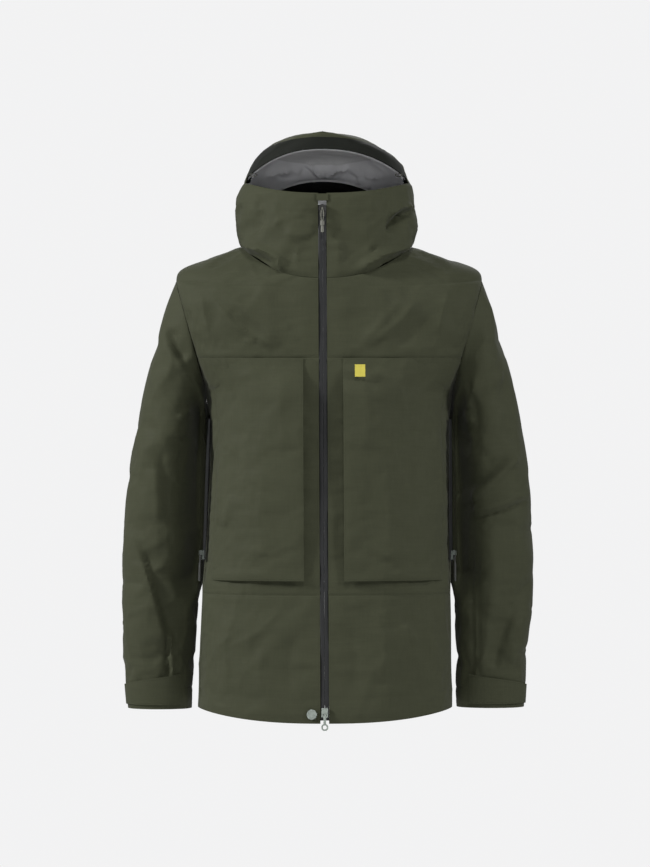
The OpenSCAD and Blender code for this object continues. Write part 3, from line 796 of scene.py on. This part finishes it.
def panel(name, points, material, inside, thickness=1.1, wrap=False, sewn="tblr", roll=0.12):
    """A cloth panel from a grid of points. sewn names the edges with stitch rows:
    t last row, b first row, l first column, r last column."""
    rows, cols = points.shape[:2]
    down = arc_lengths(points, 0)
    across = arc_lengths(points, 1)
    gaps = {"b": down, "t": down[-1:] - down, "l": across, "r": across[:, -1:] - across}
    edge = np.full((rows, cols), 99.0)
    run = np.zeros((rows, cols))
    for key in sewn:
        closer = gaps[key] < edge
        edge = np.where(closer, gaps[key], edge)
        run = np.where(closer, across if key in "bt" else down, run)
    middle = np.array(inside, float) + (points - np.array(inside, float)) * np.array([0, 0, 1])
    normal = normals_of(points, points - middle)
    shaped = rolled(points, normal, edge, roll) if sewn else points
    if wrap:
        shaped, edge, run = shaped[:, :-1], edge[:, :-1], run[:, :-1]
        cols -= 1
    faces = outward_faces(shaped, grid_faces(rows, cols, wrap), inside)
    piece = mesh_piece(name, shaped.reshape(-1, 3), faces, material)
    mark_stitches(piece, edge, run)
    if thickness:
        thicken(piece, thickness)
    return piece


def sew_on(piece, body, *nodes, hangs=True):
    """Let a piece ride on a body, in place of the CAD nodes that it stands for."""
    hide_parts(*nodes)
    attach(piece, body)


# ---------------------------------------------------------------- folds seen on the front
YOKE_FOLDS_RIGHT = [
    ([(-188, -75), (-182, -105), (-175, -136)], 3.0, 7),
    ([(-167, -86), (-137, -123), (-73, -160)], 3.6, 8),
    ([(-145, -80), (-87, -131), (-63, -158)], 3.0, 7),
    ([(-63, -118), (-50, -138), (-36, -152)], 1.8, 6),
    ([(-156, -96), (-112, -136), (-85, -162)], -2.6, 6),
    ([(-120, -148), (-105, -152)], 1.4, 4),
    ([(-40, -70), (-30, -110), (-24, -160)], 1.6, 9),
]
YOKE_FOLDS_LEFT = [
    ([(196, -72), (186, -104), (180, -138)], 2.2, 8),
    ([(150, -82), (120, -118), (72, -156)], 2.4, 9),
    ([(120, -84), (84, -128), (58, -156)], 1.8, 8),
    ([(34, -76), (28, -110), (30, -158)], 1.6, 8),
    ([(170, -104), (140, -140), (110, -162)], -1.6, 8),
]
POCKET_FOLDS_RIGHT = [
    ([(-60, -190), (-66, -260), (-58, -330)], 2.0, 16),
    ([(-140, -200), (-128, -290), (-136, -380)], -2.4, 16),
    ([(-140, -386), (-146, -410), (-151, -440)], 3.4, 8),
    ([(-150, -300), (-158, -350), (-160, -420)], 2.6, 9),
    ([(-40, -460), (-80, -478), (-126, -470)], 1.8, 10),
    ([(-90, -340), (-98, -420), (-90, -500)], 1.6, 14),
]
POCKET_FOLDS_LEFT = [
    ([(60, -190), (70, -260), (62, -340)], 2.0, 16),
    ([(128, -196), (140, -280), (134, -380)], -2.2, 18),
    ([(176, -280), (184, -350), (188, -420)], 2.4, 8),
    ([(60, -460), (96, -480), (140, -470)], 1.8, 10),
    ([(96, -330), (104, -410), (98, -500)], 1.6, 14),
]
HEM_FOLDS_RIGHT = [
    ([(-60, -560), (-100, -600), (-150, -626)], 2.0, 12),
    ([(-40, -600), (-52, -650), (-48, -700)], -1.6, 12),
    ([(-130, -560), (-150, -620), (-146, -690)], 1.8, 13),
    ([(-90, -620), (-98, -660), (-92, -700)], 1.4, 10),
]
HEM_FOLDS_LEFT = [
    ([(123, -583), (138, -606), (150, -624)], 2.2, 9),
    ([(40, -570), (52, -640), (48, -700)], -1.6, 12),
    ([(80, -560), (96, -610), (92, -680)], 1.8, 13),
    ([(160, -560), (176, -620), (172, -690)], 1.8, 12),
]
SLEEVE_FOLDS_RIGHT = [
    ([(-250, -110), (-238, -160), (-214, -196)], 3.0, (14, 7)),
    ([(-240, -128), (-228, -156), (-214, -180)], -4.0, 7),
    ([(-268, -190), (-252, -230), (-226, -262)], 3.0, (6, 16)),
    ([(-225, -270), (-216, -261), (-208, -250)], 1.6, 4),
    ([(-292, -286), (-262, -352), (-256, -440)], 4.0, (26, 8)),
    ([(-214, -290), (-222, -370), (-212, -450)], -4.0, 20),
    ([(-250, -330), (-246, -380), (-240, -430)], -2.0, 6),
    ([(-311, -432), (-277, -499), (-244, -624)], 5.6, (34, 4)),
    ([(-282, -470), (-256, -540), (-226, -620)], -4.4, (8, 22)),
    ([(-242, -604), (-243, -640), (-241, -674)], -2.6, 3),
    ([(-236, -606), (-236, -640), (-234, -674)], 1.4, 3),
    ([(-300, -560), (-284, -610), (-280, -660)], 1.4, 10),
]
SLEEVE_FOLDS_LEFT = [
    ([(252, -75), (262, -107), (249, -181), (226, -262)], 4.6, (7, 12)),
    ([(223, -256), (229, -267), (240, -278)], 2.4, 5),
    ([(242, -224), (264, -212), (284, -196)], 3.4, (6, 4)),
    ([(283, -200), (304, -262), (277, -329), (240, -366), (214, -386)], -6.2, (10, 9)),
    ([(230, -206), (238, -250), (240, -300)], -3.0, 6),
    ([(232, -400), (280, -356), (310, -326)], 3.4, (4, 12)),
    ([(236, -412), (284, -398), (329, -376)], 3.6, (10, 4)),
    ([(236, -426), (280, -414), (322, -396)], -2.6, 5),
    ([(296, -383), (312, -386), (327, -388)], 1.2, 3),
    ([(330, -520), (299, -559), (276, -624), (270, -664)], -3.8, (14, 5)),
    ([(324, -556), (304, -604), (292, -664)], 2.4, (9, 14)),
    ([(236, -420), (234, -540), (236, -690)], -1.0, 3),
    ([(244, -430), (243, -540), (245, -690)], -0.8, 3),
    ([(262, -440), (268, -520), (258, -590)], 1.6, 14),
]
COLLAR_FOLDS = [
    ([(-130, 6), (-87, -10), (-66, -22), (-63, -50)], 4.0, 7),
    ([(-118, -14), (-90, -26), (-76, -30)], -4.0, 6),
    ([(146, 10), (119, -4), (87, -18), (70, -30), (60, -55)], 4.0, 7),
    ([(134, -14), (104, -26), (86, -34)], -4.0, 6),
    ([(139, 56), (119, 47), (97, 20)], -6.5, 7),
    ([(142, 66), (122, 60), (104, 46)], 3.6, 6),
    ([(-63, 43), (-68, 38), (-74, 32)], 1.8, 3),
    ([(-38, 50), (-37, 42)], 1.4, 3),
    ([(-28, 62), (-28, 54)], 1.4, 3),
    ([(-38, 2), (-39, -12), (-38, -28)], 2.0, 4),
    ([(23, 18), (24, -8), (23, -36)], 2.2, 4),
    ([(76, -4), (82, -9)], -2.2, 4),
    ([(-105, 84), (-96, 40), (-112, 10)], -2.8, 9),
    ([(104, 80), (96, 40), (108, 4)], 2.2, 10),
    ([(-60, 20), (-30, 14), (-16, 22)], 1.4, 6),
    ([(84, 90), (82, 80)], -1.6, 2.5),
]


# ---------------------------------------------------------------- body
SIDES = ((1, "left"), (-1, "right"))
ZIP_EDGE = 6.6
POCKET_EDGE = 31
INSIDE_BODY = (4, -50, -300)
HEM_Z, WAIST_Z, YOKE_Z, NECK_ROW = -718, -541, -175, 65
HEM_STITCH_Z, UPPER_WAIST_Z = -690, -532
FINE = 3.3
PANEL_WIDTH = 205
COARSE = 9.0
# Spots (x, z, radius) where no fold may lift the cloth
SHOULDER_POINTS = [(240, -42, 34), (-219, -42, 34)]
STILL_SPOTS = [(-16.4, -723, 8), (138, -706, 12), (-130, -706, 12)]


def pinned_rim(rows, cols):
    """Weights for a grid that is sewn down all round."""
    pinned = np.zeros((len(rows), len(cols)))
    pinned[0] = pinned[-1] = pinned[:, 0] = pinned[:, -1] = 1
    return pinned


def body_cloth(side, face):
    """A quarter of the body from hem to neck, crumpled and folded."""
    rows = steps_between(HEM_Z, NECK_ROW, COARSE)
    cols = np.linspace(0, 1, 24)
    strokes, start, quiet = [], 0, SHOULDER_POINTS
    if face > 0:
        strokes = (YOKE_FOLDS_LEFT + HEM_FOLDS_LEFT if side > 0
                   else YOKE_FOLDS_RIGHT + HEM_FOLDS_RIGHT)
        start, quiet = ZIP_EDGE, SHOULDER_POINTS + STILL_SPOTS
    cloth = Cloth(lambda r, c: quarter(side, face, r, c, start), rows, cols, strokes,
                  noise=[(60, 2.4, 11 + side, (1, 1, 1.7)), (19, 0.7, 31 + side, (1, 1, 1.2))],
                  inside=INSIDE_BODY, depth=2.0, quiet=quiet,
                  grooves=(HEM_STITCH_Z, UPPER_WAIST_Z, WAIST_Z, YOKE_Z))
    pinned = pinned_rim(rows, cols)
    for line in (WAIST_Z, YOKE_Z):
        pinned[np.argmin(np.abs(rows - line))] = 0.85
    cloth.crumple(pinned, 0.4, hold=0.23, grow=0.022, frames=22)
    return cloth


def cut(cloth, bottom, top):
    """The cloth between two heights, at full width."""
    return cloth.at(steps_between(bottom, top, FINE), np.linspace(0, 1, int(PANEL_WIDTH / FINE)))


POCKET_STAND, POCKET_FOOT = 12.5, -519


def pocket_points(side):
    """The chest pocket: the front's own surface, standing off it beside the zip."""
    rows = steps_between(POCKET_FOOT, YOKE_Z - 0.5, FINE)
    shares = np.linspace(0, 1, 44)
    rings = smooth_rows(BODY_KNOTS, BODY_RINGS, rows)
    start = turn_at(rings, side, POCKET_EDGE)
    turns = start[:, None] + (66 - start)[:, None] * shares[None, :]
    points = ring_points(rings, side * turns)
    rise = ((0.5 + 0.5 * ease((rows - POCKET_FOOT) / 240)) * ease((YOKE_Z - rows) / 60))[:, None]
    points[..., 1] -= (1.2 + POCKET_STAND * rise * (1 - shares[None, :] ** 2)) + 1.2
    strokes = POCKET_FOLDS_LEFT if side > 0 else POCKET_FOLDS_RIGHT
    shape = Cloth(lambda r, c: points, rows, shares, strokes,
                  noise=[(60, 2.2, 51 + side, (1, 1, 1.8)), (18, 0.6, 61 + side, (1, 1, 1.3))],
                  inside=INSIDE_BODY, depth=1.5)
    coarse_rows, coarse_cols = steps_between(rows[0], rows[-1], COARSE), np.linspace(0, 1, 20)
    at = [np.searchsorted(rows, r).clip(0, len(rows) - 1) for r in coarse_rows]
    across = np.round(coarse_cols * 43).astype(int)
    coarse = points[np.ix_(at, across)]
    pinned = np.zeros(coarse.shape[:2])
    pinned[0] = pinned[-1] = pinned[:, -1] = 1
    pinned[:, 0] = 0.7
    shape.rows, shape.cols = rows[at], across / 43
    shape.shift = 0.35 * settle(coarse, pinned, False, grow=0.018, frames=22, hold=0.24)
    return shape.at(rows, shares)


def build_body():
    for side, word in SIDES:
        front = body_cloth(side, 1)
        back = body_cloth(side, -1)
        for name, bottom, top in (("lower_front_", HEM_Z, WAIST_Z),
                                  ("front_", WAIST_Z, YOKE_Z), ("yoke_", YOKE_Z, NECK_ROW)):
            piece = panel(name + word + ".cloth", cut(front, bottom, top), SHELL, INSIDE_BODY)
            sew_on(piece, "shell", name + word)
        pocket = panel(f"chest_pocket_{word}.cloth", pocket_points(side), SHELL,
                       INSIDE_BODY, roll=0.7)
        sew_on(pocket, "shell", "chest_pocket_" + word)
        for name, bottom, top in (("back_panel", HEM_Z, YOKE_Z), ("back_yoke", YOKE_Z, NECK_ROW)):
            piece = panel(f"{name}_{word}.cloth", cut(back, bottom, top), SHELL, INSIDE_BODY)
            sew_on(piece, "shell", name)
        rows = steps_between(HEM_Z, UNDERARM_Z, COARSE)
        cols = np.linspace(0, 1, 7)
        strip = Cloth(lambda r, c, s=side: flank(s, r, c), rows, cols,
                      noise=[(40, 1.8, 71 + side, (1, 1, 1.6))], inside=INSIDE_BODY)
        points = strip.at(steps_between(HEM_Z, UNDERARM_Z, FINE), np.linspace(0, 1, 14))
        piece = panel(f"side_panel_{word}.cloth", points, SHELL, INSIDE_BODY)
        sew_on(piece, "shell", "side_panel_" + word)
    facing = hem_strip(HEM_Z + 1, HEM_Z + 34, np.linspace(12, 348, 90), 3.4)
    piece = panel("hem_facing.cloth", facing, SHADED_SHELL, INSIDE_BODY)
    sew_on(piece, "shell", "hem_facing")


def hem_strip(bottom, top, turns, inset):
    """A strip round the body, set in towards its middle line."""
    rows = steps_between(bottom, top, 5.0)
    points = ring_points(smooth_rows(BODY_KNOTS, BODY_RINGS, rows), turns)
    core = np.array([4, -50, 0]) + points * np.array([0, 0, 1])
    away = points - core
    return points - away / np.linalg.norm(away, axis=-1, keepdims=True) * inset


# ---------------------------------------------------------------- sleeves
def sleeve_cloth(side):
    lengths = np.concatenate([steps_between(0, 560, COARSE), [CUFF_END]])
    turns = np.linspace(-180, 180, 49)
    strokes = SLEEVE_FOLDS_LEFT if side > 0 else SLEEVE_FOLDS_RIGHT
    cloth = Cloth(lambda r, c: sleeve_points(side, r, c), lengths, turns, strokes,
                  noise=[(42, 3.0, 81 + side, (1, 1, 1.5)), (15, 0.8, 91 + side, (1, 1, 1.2))],
                  inside=(side * 262, -50, -300))
    pinned = np.zeros((len(lengths), len(turns)))
    pinned[0] = 1
    pinned[lengths > CUFF_TOP - 2] = 0.9
    cloth.crumple(pinned, 0.34, wrap=True, hold=0.22, grow=0.035, frames=24)
    return cloth


def build_sleeves():
    for side, word in SIDES:
        cloth = sleeve_cloth(side)
        inside = (262 * side + 5, -50, -300)
        body = "sleeve_" + word
        turns = np.linspace(-180, 180, 107)
        for name, first, last in (("sleeve_", 0.2, CUFF_TOP), ("cuff_", CUFF_TOP, CUFF_END)):
            lengths = steps_between(first, last, FINE)
            points = sleeve_at(cloth, lengths, turns)
            piece = panel(name + word + ".cloth", points, SHELL, inside, wrap=True,
                          sewn="b" if name == "sleeve_" else "tb")
            if name == "sleeve_":
                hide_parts("upper_sleeve_" + word, "lower_sleeve_" + word)
                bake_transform(piece)
            else:
                sew_on(piece, body, "cuff_" + word)


HIGHEST_FOLD = 6.5


def sleeve_at(cloth, lengths, turns):
    """Sleeve points with folds applied outward from the sleeve's own middle line."""
    crumple = resample(cloth.shift, cloth.rows, lengths, cloth.cols, turns)
    points = cloth.base(lengths, turns) + crumple * (0.2 + 0.8 * ease(lengths / 80))[:, None, None]
    middle = points[:, :-1].mean(axis=1, keepdims=True)
    normal = normals_of(points, points - middle)
    lift = np.zeros(points.shape[:2])
    facing = ease((-normal[..., 1] - 0.04) / 0.5)
    drawn = 3.8 * stroke_lift(points[..., 0], points[..., 2], cloth.strokes)
    lift += facing * HIGHEST_FOLD * np.tanh(drawn / HIGHEST_FOLD)
    for scale, height, seed, stretch in cloth.noise:
        lift += (0.3 + 0.9 * facing) * height * ridged(points, scale, seed, stretch)
    near = np.minimum(lengths, CUFF_END - lengths + 3)
    fade = (0.2 + 0.8 * ease(near / 22))[:, None]
    lift = lift * fade
    lift -= 1.2 * np.exp(-((lengths - CUFF_TOP) / 4) ** 2)[:, None]
    result = points + normal * lift[..., None]
    result[:, -1] = result[:, 0]
    return result


def build_cuff_tabs():
    """Stiff tabs with a slanted end, hook-and-loop on the cuff below each."""
    for side, word in SIDES:
        def outline(lift, count_across=8, count_along=26):
            turns = np.linspace(172, 52, count_along)
            low = sleeve_points(side, np.full(1, between(CUFF_TOP, CUFF_END, 0.8)), turns, lift)[0]
            top = []
            for k, turn in enumerate(turns):
                f = (between(686, 668, k / (count_along - 1)) - 640) / 50
                top.append(sleeve_points(side, np.array([between(485, CUFF_TOP, f)]),
                                         np.array([turn]), lift)[0, 0])
            top = np.array(top)
            shares = np.linspace(0, 1, count_across)[:, None, None]
            return low[None] * (1 - shares) + top[None] * shares
        points = outline(3.0)
        inside = (262 * side + 5, -60, -690)
        tab = panel(f"cuff_tab_{word}.cloth", points, SHELL, inside, thickness=1.8, roll=0.4)
        sew_on(tab, "cuff_tab_" + word, "cuff_tab_" + word, hangs=False)
        hook = panel(f"cuff_hook_{word}", outline(1.25)[1:-1, 16:-1], BLACK_AND_NECK_SHADE, inside,
                     thickness=0.6, roll=0, sewn="")
        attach(hook, "cuff_tab_" + word)
        loop = panel(f"cuff_loop_{word}", outline(0.5)[1:-1, 4:-1], BLACK_AND_NECK_SHADE, inside,
                     thickness=0.5, roll=0, sewn="")
        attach(loop, "sleeve_" + word)


def between(a, b, f):
    return a + (b - a) * f


# ---------------------------------------------------------------- collar and hood
INSIDE_NECK = (4, -40, 40)
HOOD_CORE = np.array([6, -30, 40.0])
HOOD_FOOT, BRIM_ROW = 4.4, 124


def collar_quarter(side, rows, shares):
    rings = smooth_rows(NECK_KNOTS, NECK_RINGS, rows)
    start = turn_at(rings, side, ZIP_EDGE)
    turns = start[:, None] + (179.8 - start)[:, None] * shares[None, :]
    return ring_points(rings, side * turns)


def build_collar():
    for side, word in SIDES:
        rows = steps_between(0.5, 132.5, 8)
        cols = np.linspace(0, 1, 34)
        cloth = Cloth(lambda r, c, s=side: collar_quarter(s, r, c), rows, cols, COLLAR_FOLDS,
                      noise=[(30, 1.8, 101 + side, (1.3, 1, 1)), (12, 0.6, 111 + side, (1, 1, 1))],
                      inside=INSIDE_NECK, depth=2.9)
        cloth.crumple(pinned_rim(rows, cols), 0.7, hold=0.2, grow=0.03, frames=20)
        points = cloth.at(steps_between(0.5, 132.5, 3.4), np.linspace(0, 1, 92))
        piece = panel(f"collar_{word}.cloth", points, SHELL, INSIDE_NECK, sewn="tlr", roll=0.1)
        sew_on(piece, "shell", "collar_" + word)
    inner = [[-98, 106, 8, -60, -30, 4, -8, 2.2], [-92, 98, 14, -56, 60, 78, 109, 2.2]]
    turns = np.linspace(82, 278, 70)
    points = ring_points(smooth_rows([0, 1], inner, np.linspace(0, 1, 28)), turns)
    sway = 1.6 * ridged(points, 34, 121, (1, 1, 1.4))
    points -= (np.array([0, 1, 0]) * sway[..., None])
    # The inner collar is near-black: painted shade for the dark hollow inside the neck.
    piece = panel("inner_collar.cloth", points, BLACK_AND_NECK_SHADE, INSIDE_NECK)
    sew_on(piece, "shell", "inner_collar")
    raised = np.array(inner[1]) + [0, 0, 0, 0, 3.4, 3.4, 3.4, 0]
    rim = ring_points(np.array([inner[1], raised]), turns)
    rim[0, :, 2] += 0.2
    binding = panel("neck_binding.cloth", np.stack([rim[0], (rim[0] + rim[1]) / 2, rim[1]]),
                    LINING_BAND, INSIDE_NECK, thickness=2.2, roll=0.2)
    sew_on(binding, "shell", "neck_binding", hangs=False)


def drawn_together(points):
    """The crown's last ring carried on to the middle line over the head."""
    ring = points[-1]
    middle = ring.copy()
    middle[:, 0] = ring[:, 0].mean()
    over = [ring + (middle - ring) * share for share in (0.35, 0.7, 0.998)]
    return np.concatenate([points, np.array(over)])


def hood_surface(rows, turns):
    """Points of the hood, and the directions away from its core."""
    points = ring_points(smooth_rows(HOOD_KNOTS, HOOD_RINGS, rows), turns)
    away = points - HOOD_CORE
    return points, away / np.linalg.norm(away, axis=-1, keepdims=True)


def build_hood():
    def shape(rows, turns, calm=1.0):
        points, away = hood_surface(rows, turns)
        lift = 2.4 * ridged(points, 30, 131, (1.3, 1, 1)) + 0.7 * ridged(points, 12, 141)
        near = np.minimum(rows - rows[0], 60)
        lift = lift * (0.25 + 0.75 * ease(near / 16))[:, None] * calm
        return points + away * np.minimum(lift, 0.6)[..., None]

    rows = steps_between(HOOD_FOOT, BRIM_ROW, 3.6)
    for side, word in SIDES:
        ends = (77, 138) if side > 0 else (-138, -77)
        piece = panel(f"hood_side_{word}.cloth", shape(rows, np.linspace(*ends, 40)), SHELL,
                      INSIDE_NECK)
        sew_on(piece, "hood", "hood_side_" + word)
    centre = panel("hood_centre.cloth", shape(rows, np.linspace(138.4, 221.6, 60)), SHELL,
                   INSIDE_NECK)
    rows = steps_between(124.6, 213, 4.0)
    crown = panel("hood_crown.cloth", drawn_together(shape(rows, np.linspace(-180, 180, 90))),
                  SHELL, INSIDE_NECK, wrap=True, sewn="b")
    for piece in (centre, crown):
        sew_on(piece, "hood", "hood_centre", hangs=False)
    rows = steps_between(44, BRIM_ROW, 3.4)
    # The brim takes the darkened olive: painted shade, because its outer face turns downward.
    brim = panel("brim.cloth", shape(rows, np.linspace(-76.5, 76.5, 84), calm=0.5),
                 SHADED_SHELL, INSIDE_NECK, thickness=1.6)
    sew_on(brim, "hood", "brim")
    build_lining()


LINING_FOLDS = [
    ([(-26, 133), (-12, 119), (1, 107)], 6.0, 5),
    ([(1, 107), (14, 119), (28, 127), (46, 124)], 6.0, 5),
    ([(-34, 124), (-20, 108), (-4, 99)], -7.0, 6),
    ([(57, 105), (72, 100), (86, 93)], 5.0, 6),
    ([(-86, 112), (-64, 104), (-40, 108)], -4.0, 6),
    ([(34, 114), (50, 106), (62, 97)], -5.0, 6),
    ([(-100, 112), (-78, 117), (-52, 118)], 3.0, 5),
    ([(70, 114), (88, 110), (104, 110)], 3.0, 5),
]
VIEW_RISE = 0.0737


def build_lining():
    """Grey lining: the hood's loose knit behind the face, and the crown's under side with
    its facing band. The folds are placed where a level view from the front meets them."""
    def under(rows, turns, deepest):
        points, away = hood_surface(rows, turns)
        seen_z = points[..., 2] - VIEW_RISE * (points[..., 1] + 140)
        slack = 4.0 * (0.5 + ridged(points, 40, 151, (1.5, 1, 1)))
        folds = stroke_lift(points[..., 0], seen_z, LINING_FOLDS) * 2.6
        folds = folds * ease((points[..., 1] - 10) / 30)
        rim = ease((rows - HOOD_FOOT) / 20)[:, None]
        depth = np.clip(3.4 + (slack + folds + 3) * rim, 3.4, deepest)
        return points - away * depth[..., None]

    rows = steps_between(HOOD_FOOT + 2, BRIM_ROW, 3.0)
    wall = panel("hood_lining.cloth", under(rows, np.linspace(80, 280, 130), 22), LINING,
                 INSIDE_NECK, roll=0)
    sew_on(wall, "hood", "hood_lining")
    rows = steps_between(123.5, 212, 3.6)
    crown = panel("crown_lining", drawn_together(under(rows, np.linspace(-180, 180, 110), 14)),
                  LINING_BAND, INSIDE_NECK, wrap=True, sewn="b", roll=0.2)
    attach(crown, "hood")
    rows = steps_between(46, BRIM_ROW, 4)
    band = panel("brim_facing.cloth", under(rows, np.linspace(-80, 80, 80), 3.4), LINING_BAND,
                 INSIDE_NECK, roll=0)
    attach(band, "hood")


# ---------------------------------------------------------------- hardware and trims
ZIP_TILT = Matrix.Rotation(-atan(FRONT_LEAN), 4, "X") @ Matrix.Rotation(radians(-0.286), 4, "Y")


def on_zip(z, points):
    """Points laid out beside the zip line at height z, leant along it. All in mm."""
    turn = np.array(ZIP_TILT.to_3x3())
    return np.asarray(points, float) @ turn.T + np.array([zip_x(z), zip_y(z), z])


def bar_mesh(low, high):
    (a, b, c), (d, e, f) = low, high
    verts = [(a, b, c), (d, b, c), (d, e, c), (a, e, c), (a, b, f), (d, b, f), (d, e, f), (a, e, f)]
    faces = [(3, 2, 1, 0), (4, 5, 6, 7), (0, 1, 5, 4), (1, 2, 6, 5), (2, 3, 7, 6), (3, 0, 4, 7)]
    return np.array(verts, float), faces


def joined(parts):
    verts, faces = [], []
    for v, f in parts:
        base = sum(len(x) for x in verts)
        verts.append(np.asarray(v, float))
        faces += [tuple(k + base for k in face) for face in f]
    return np.concatenate(verts), faces


def tube_mesh(path, radius, sides=8):
    """A round tube along a path, with closed ends."""
    path = np.asarray(path, float)
    ahead = np.gradient(path, axis=0)
    ahead /= np.linalg.norm(ahead, axis=1, keepdims=True)
    side = np.cross(ahead[0], [0.31, 0.52, 0.8])
    verts = []
    for p, t in zip(path, ahead):
        side = side - t * (side @ t)
        side /= np.linalg.norm(side)
        up = np.cross(t, side)
        verts += [p + radius * (side * cos(2 * pi * k / sides) + up * sin(2 * pi * k / sides))
                  for k in range(sides)]
    faces = [tuple(reversed(face)) for face in grid_faces(len(path), sides, wrap=True)]
    faces += [tuple(range(sides)), tuple(reversed(range(len(verts) - sides, len(verts))))]
    return np.array(verts), faces


ZIP_FOOT, ZIP_HEAD = -732, 66


def build_front_zip():
    """Coated tapes whose lips nearly meet, a fine coil between them, a sewn edge each side."""
    length = ZIP_HEAD - ZIP_FOOT
    ups = steps_between(0, length, 5)
    profile = [(6.6, 0.7), (4.6, 0.25), (2.4, 0.05), (0.9, -0.1), (0.28, 0.1), (0.28, 0.9),
               (2.0, 1.1), (6.6, 1.5)]
    for side, word in SIDES:
        rings = []
        for up in ups:
            wobble = 0.2 * sin(up / 23 + side) + 0.1 * sin(up / 9.1)
            rings.append([(side * x, y + wobble * (0.4 if x < 3 else 1), up)
                          for x, y in profile])
        grid = np.array(rings)
        faces = grid_faces(len(ups), len(profile), wrap=True)
        if side < 0:
            faces = [tuple(reversed(face)) for face in faces]
        ends = [tuple(range(8)), tuple(reversed(range(grid.size // 3 - 8, grid.size // 3)))]
        piece = mesh_piece(f"main_zip_tape_{word}.lips", on_zip(ZIP_FOOT, grid.reshape(-1, 3)),
                           [tuple(reversed(f)) for f in faces] + ends, ZIP)
        sew_on(piece, "shell", "main_zip_tape_" + word, hangs=False)
        coils = []
        pitch = 1.5
        for k in range(int((length - 2) / pitch)):
            low = (0.05 if side > 0 else -1.45, 0.25, 1 + k * pitch + (0.75 if side > 0 else 0))
            coils.append(bar_mesh(low, (low[0] + 1.4, 1.9, low[2] + 0.85)))
        verts, faces = joined(coils)
        chain = mesh_piece(f"main_zip_chain_{word}.teeth", on_zip(ZIP_FOOT, verts), faces,
                           ZIP_CHAIN, smooth=False)
        sew_on(chain, "shell", "main_zip_chain_" + word, hangs=False)


def dress_cad():
    """Procedural materials on the hard pieces carried over from the CAD."""
    looks = {
        "zip_garage": SHELL_PLAIN, "side_zip_left": ZIP, "side_zip_right": ZIP,
        "hem_snap_cap": METAL, "hem_snap_stud": METAL, "hem_lock_left": PLASTIC,
        "hem_lock_right": PLASTIC, "chest_tab": TAB, "top_slider": SLIDER_PAINT,
        "top_pull_tip": PULL_TIP, "bottom_slider": METAL, "bottom_pull": METAL,
        "side_slider_left": METAL, "side_pull_left": PULL_DARK, "side_slider_right": METAL,
        "side_pull_right": PULL_DARK, "hem_plunger_left": PLASTIC, "hem_plunger_right": PLASTIC,
        "hood_lock": PLASTIC, "hood_plunger": PLASTIC,
    }
    for name, material in looks.items():
        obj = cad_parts[name]
        obj.data.materials.clear()
        obj.data.materials.append(material)


def build_eyelets():
    """A draw-cord loop on each side of the face, just inside the brim's facing."""
    for side, word in SIDES:
        ring = smooth_rows(HOOD_KNOTS, HOOD_RINGS, np.array([46.0]))
        place = ring_points(ring, np.array([side * 64.0]))[0, 0] + [-side * 4, -1.5, -3]
        turn = np.linspace(0, 2 * pi, 25)
        path = place + np.stack([5.2 * np.cos(turn), 1.2 * np.sin(turn * 2),
                                 2.4 * np.sin(turn)], -1)
        verts, faces = tube_mesh(path, 0.8)
        loop = mesh_piece(f"hood_cord_loop_{word}", verts, faces, CORD)
        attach(loop, "hood")
        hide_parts("hood_eyelets")


def build_soft_trims():
    """The top pull's cord loop, the hanger loop's tape and the chin guard."""
    pivot_z = 56
    top = np.array([0, -6.2, 1.3])
    loop = []
    for k in range(41):
        a = 2 * pi * k / 40
        loop.append((1.7 * sin(a) * (0.8 + 0.5 * abs(sin(a / 2))), -0.3 * cos(a),
                     -10.2 + 10.8 * cos(a)))
    strand, faces = tube_mesh(np.array(loop) + top, 0.75)
    cord = mesh_piece("top_pull_cord.loop", on_zip(pivot_z, strand), faces, CORD_PALE)
    sew_on(cord, "top_pull", "top_pull_cord", hangs=False)
    half, bow = 30, 14
    arc = np.array([(half * cos(a), 5.2 - bow * sin(a), 0) for a in np.linspace(0, pi, 41)])
    tape = np.stack([arc + [0, 0, z] for z in (-4, -2, 0, 2, 4)])
    piece = panel("hanger_loop.tape", tape, BLACK_AND_NECK_SHADE, (0, 20, 0), thickness=1.2, roll=0)
    sew_on(piece, "shell", "hanger_loop", hangs=False)
    box_low, box_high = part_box("chin_guard")
    low, high = np.array(box_low) / MM, np.array(box_high) / MM
    zs = steps_between(low[2], high[2], 4)
    xs = steps_between(low[0], high[0], 3)
    lean = (high[1] - low[1] - 2) / (high[2] - low[2])
    sheet_points = np.array([[(x, low[1] + 0.8 + (z - low[2]) * lean
                               + 0.5 * sin(z / 7) * cos(x / 5), z) for x in xs] for z in zs])
    guard = panel("chin_guard.knit", sheet_points, LINING, (0, 60, 0), thickness=1.0, roll=0.4)
    sew_on(guard, "shell", "chin_guard", hangs=False)


build_body()
build_sleeves()
build_cuff_tabs()
build_collar()
build_hood()
build_front_zip()
build_soft_trims()
build_eyelets()
dress_cad()

bpy.context.scene.view_settings.view_transform = "Standard"
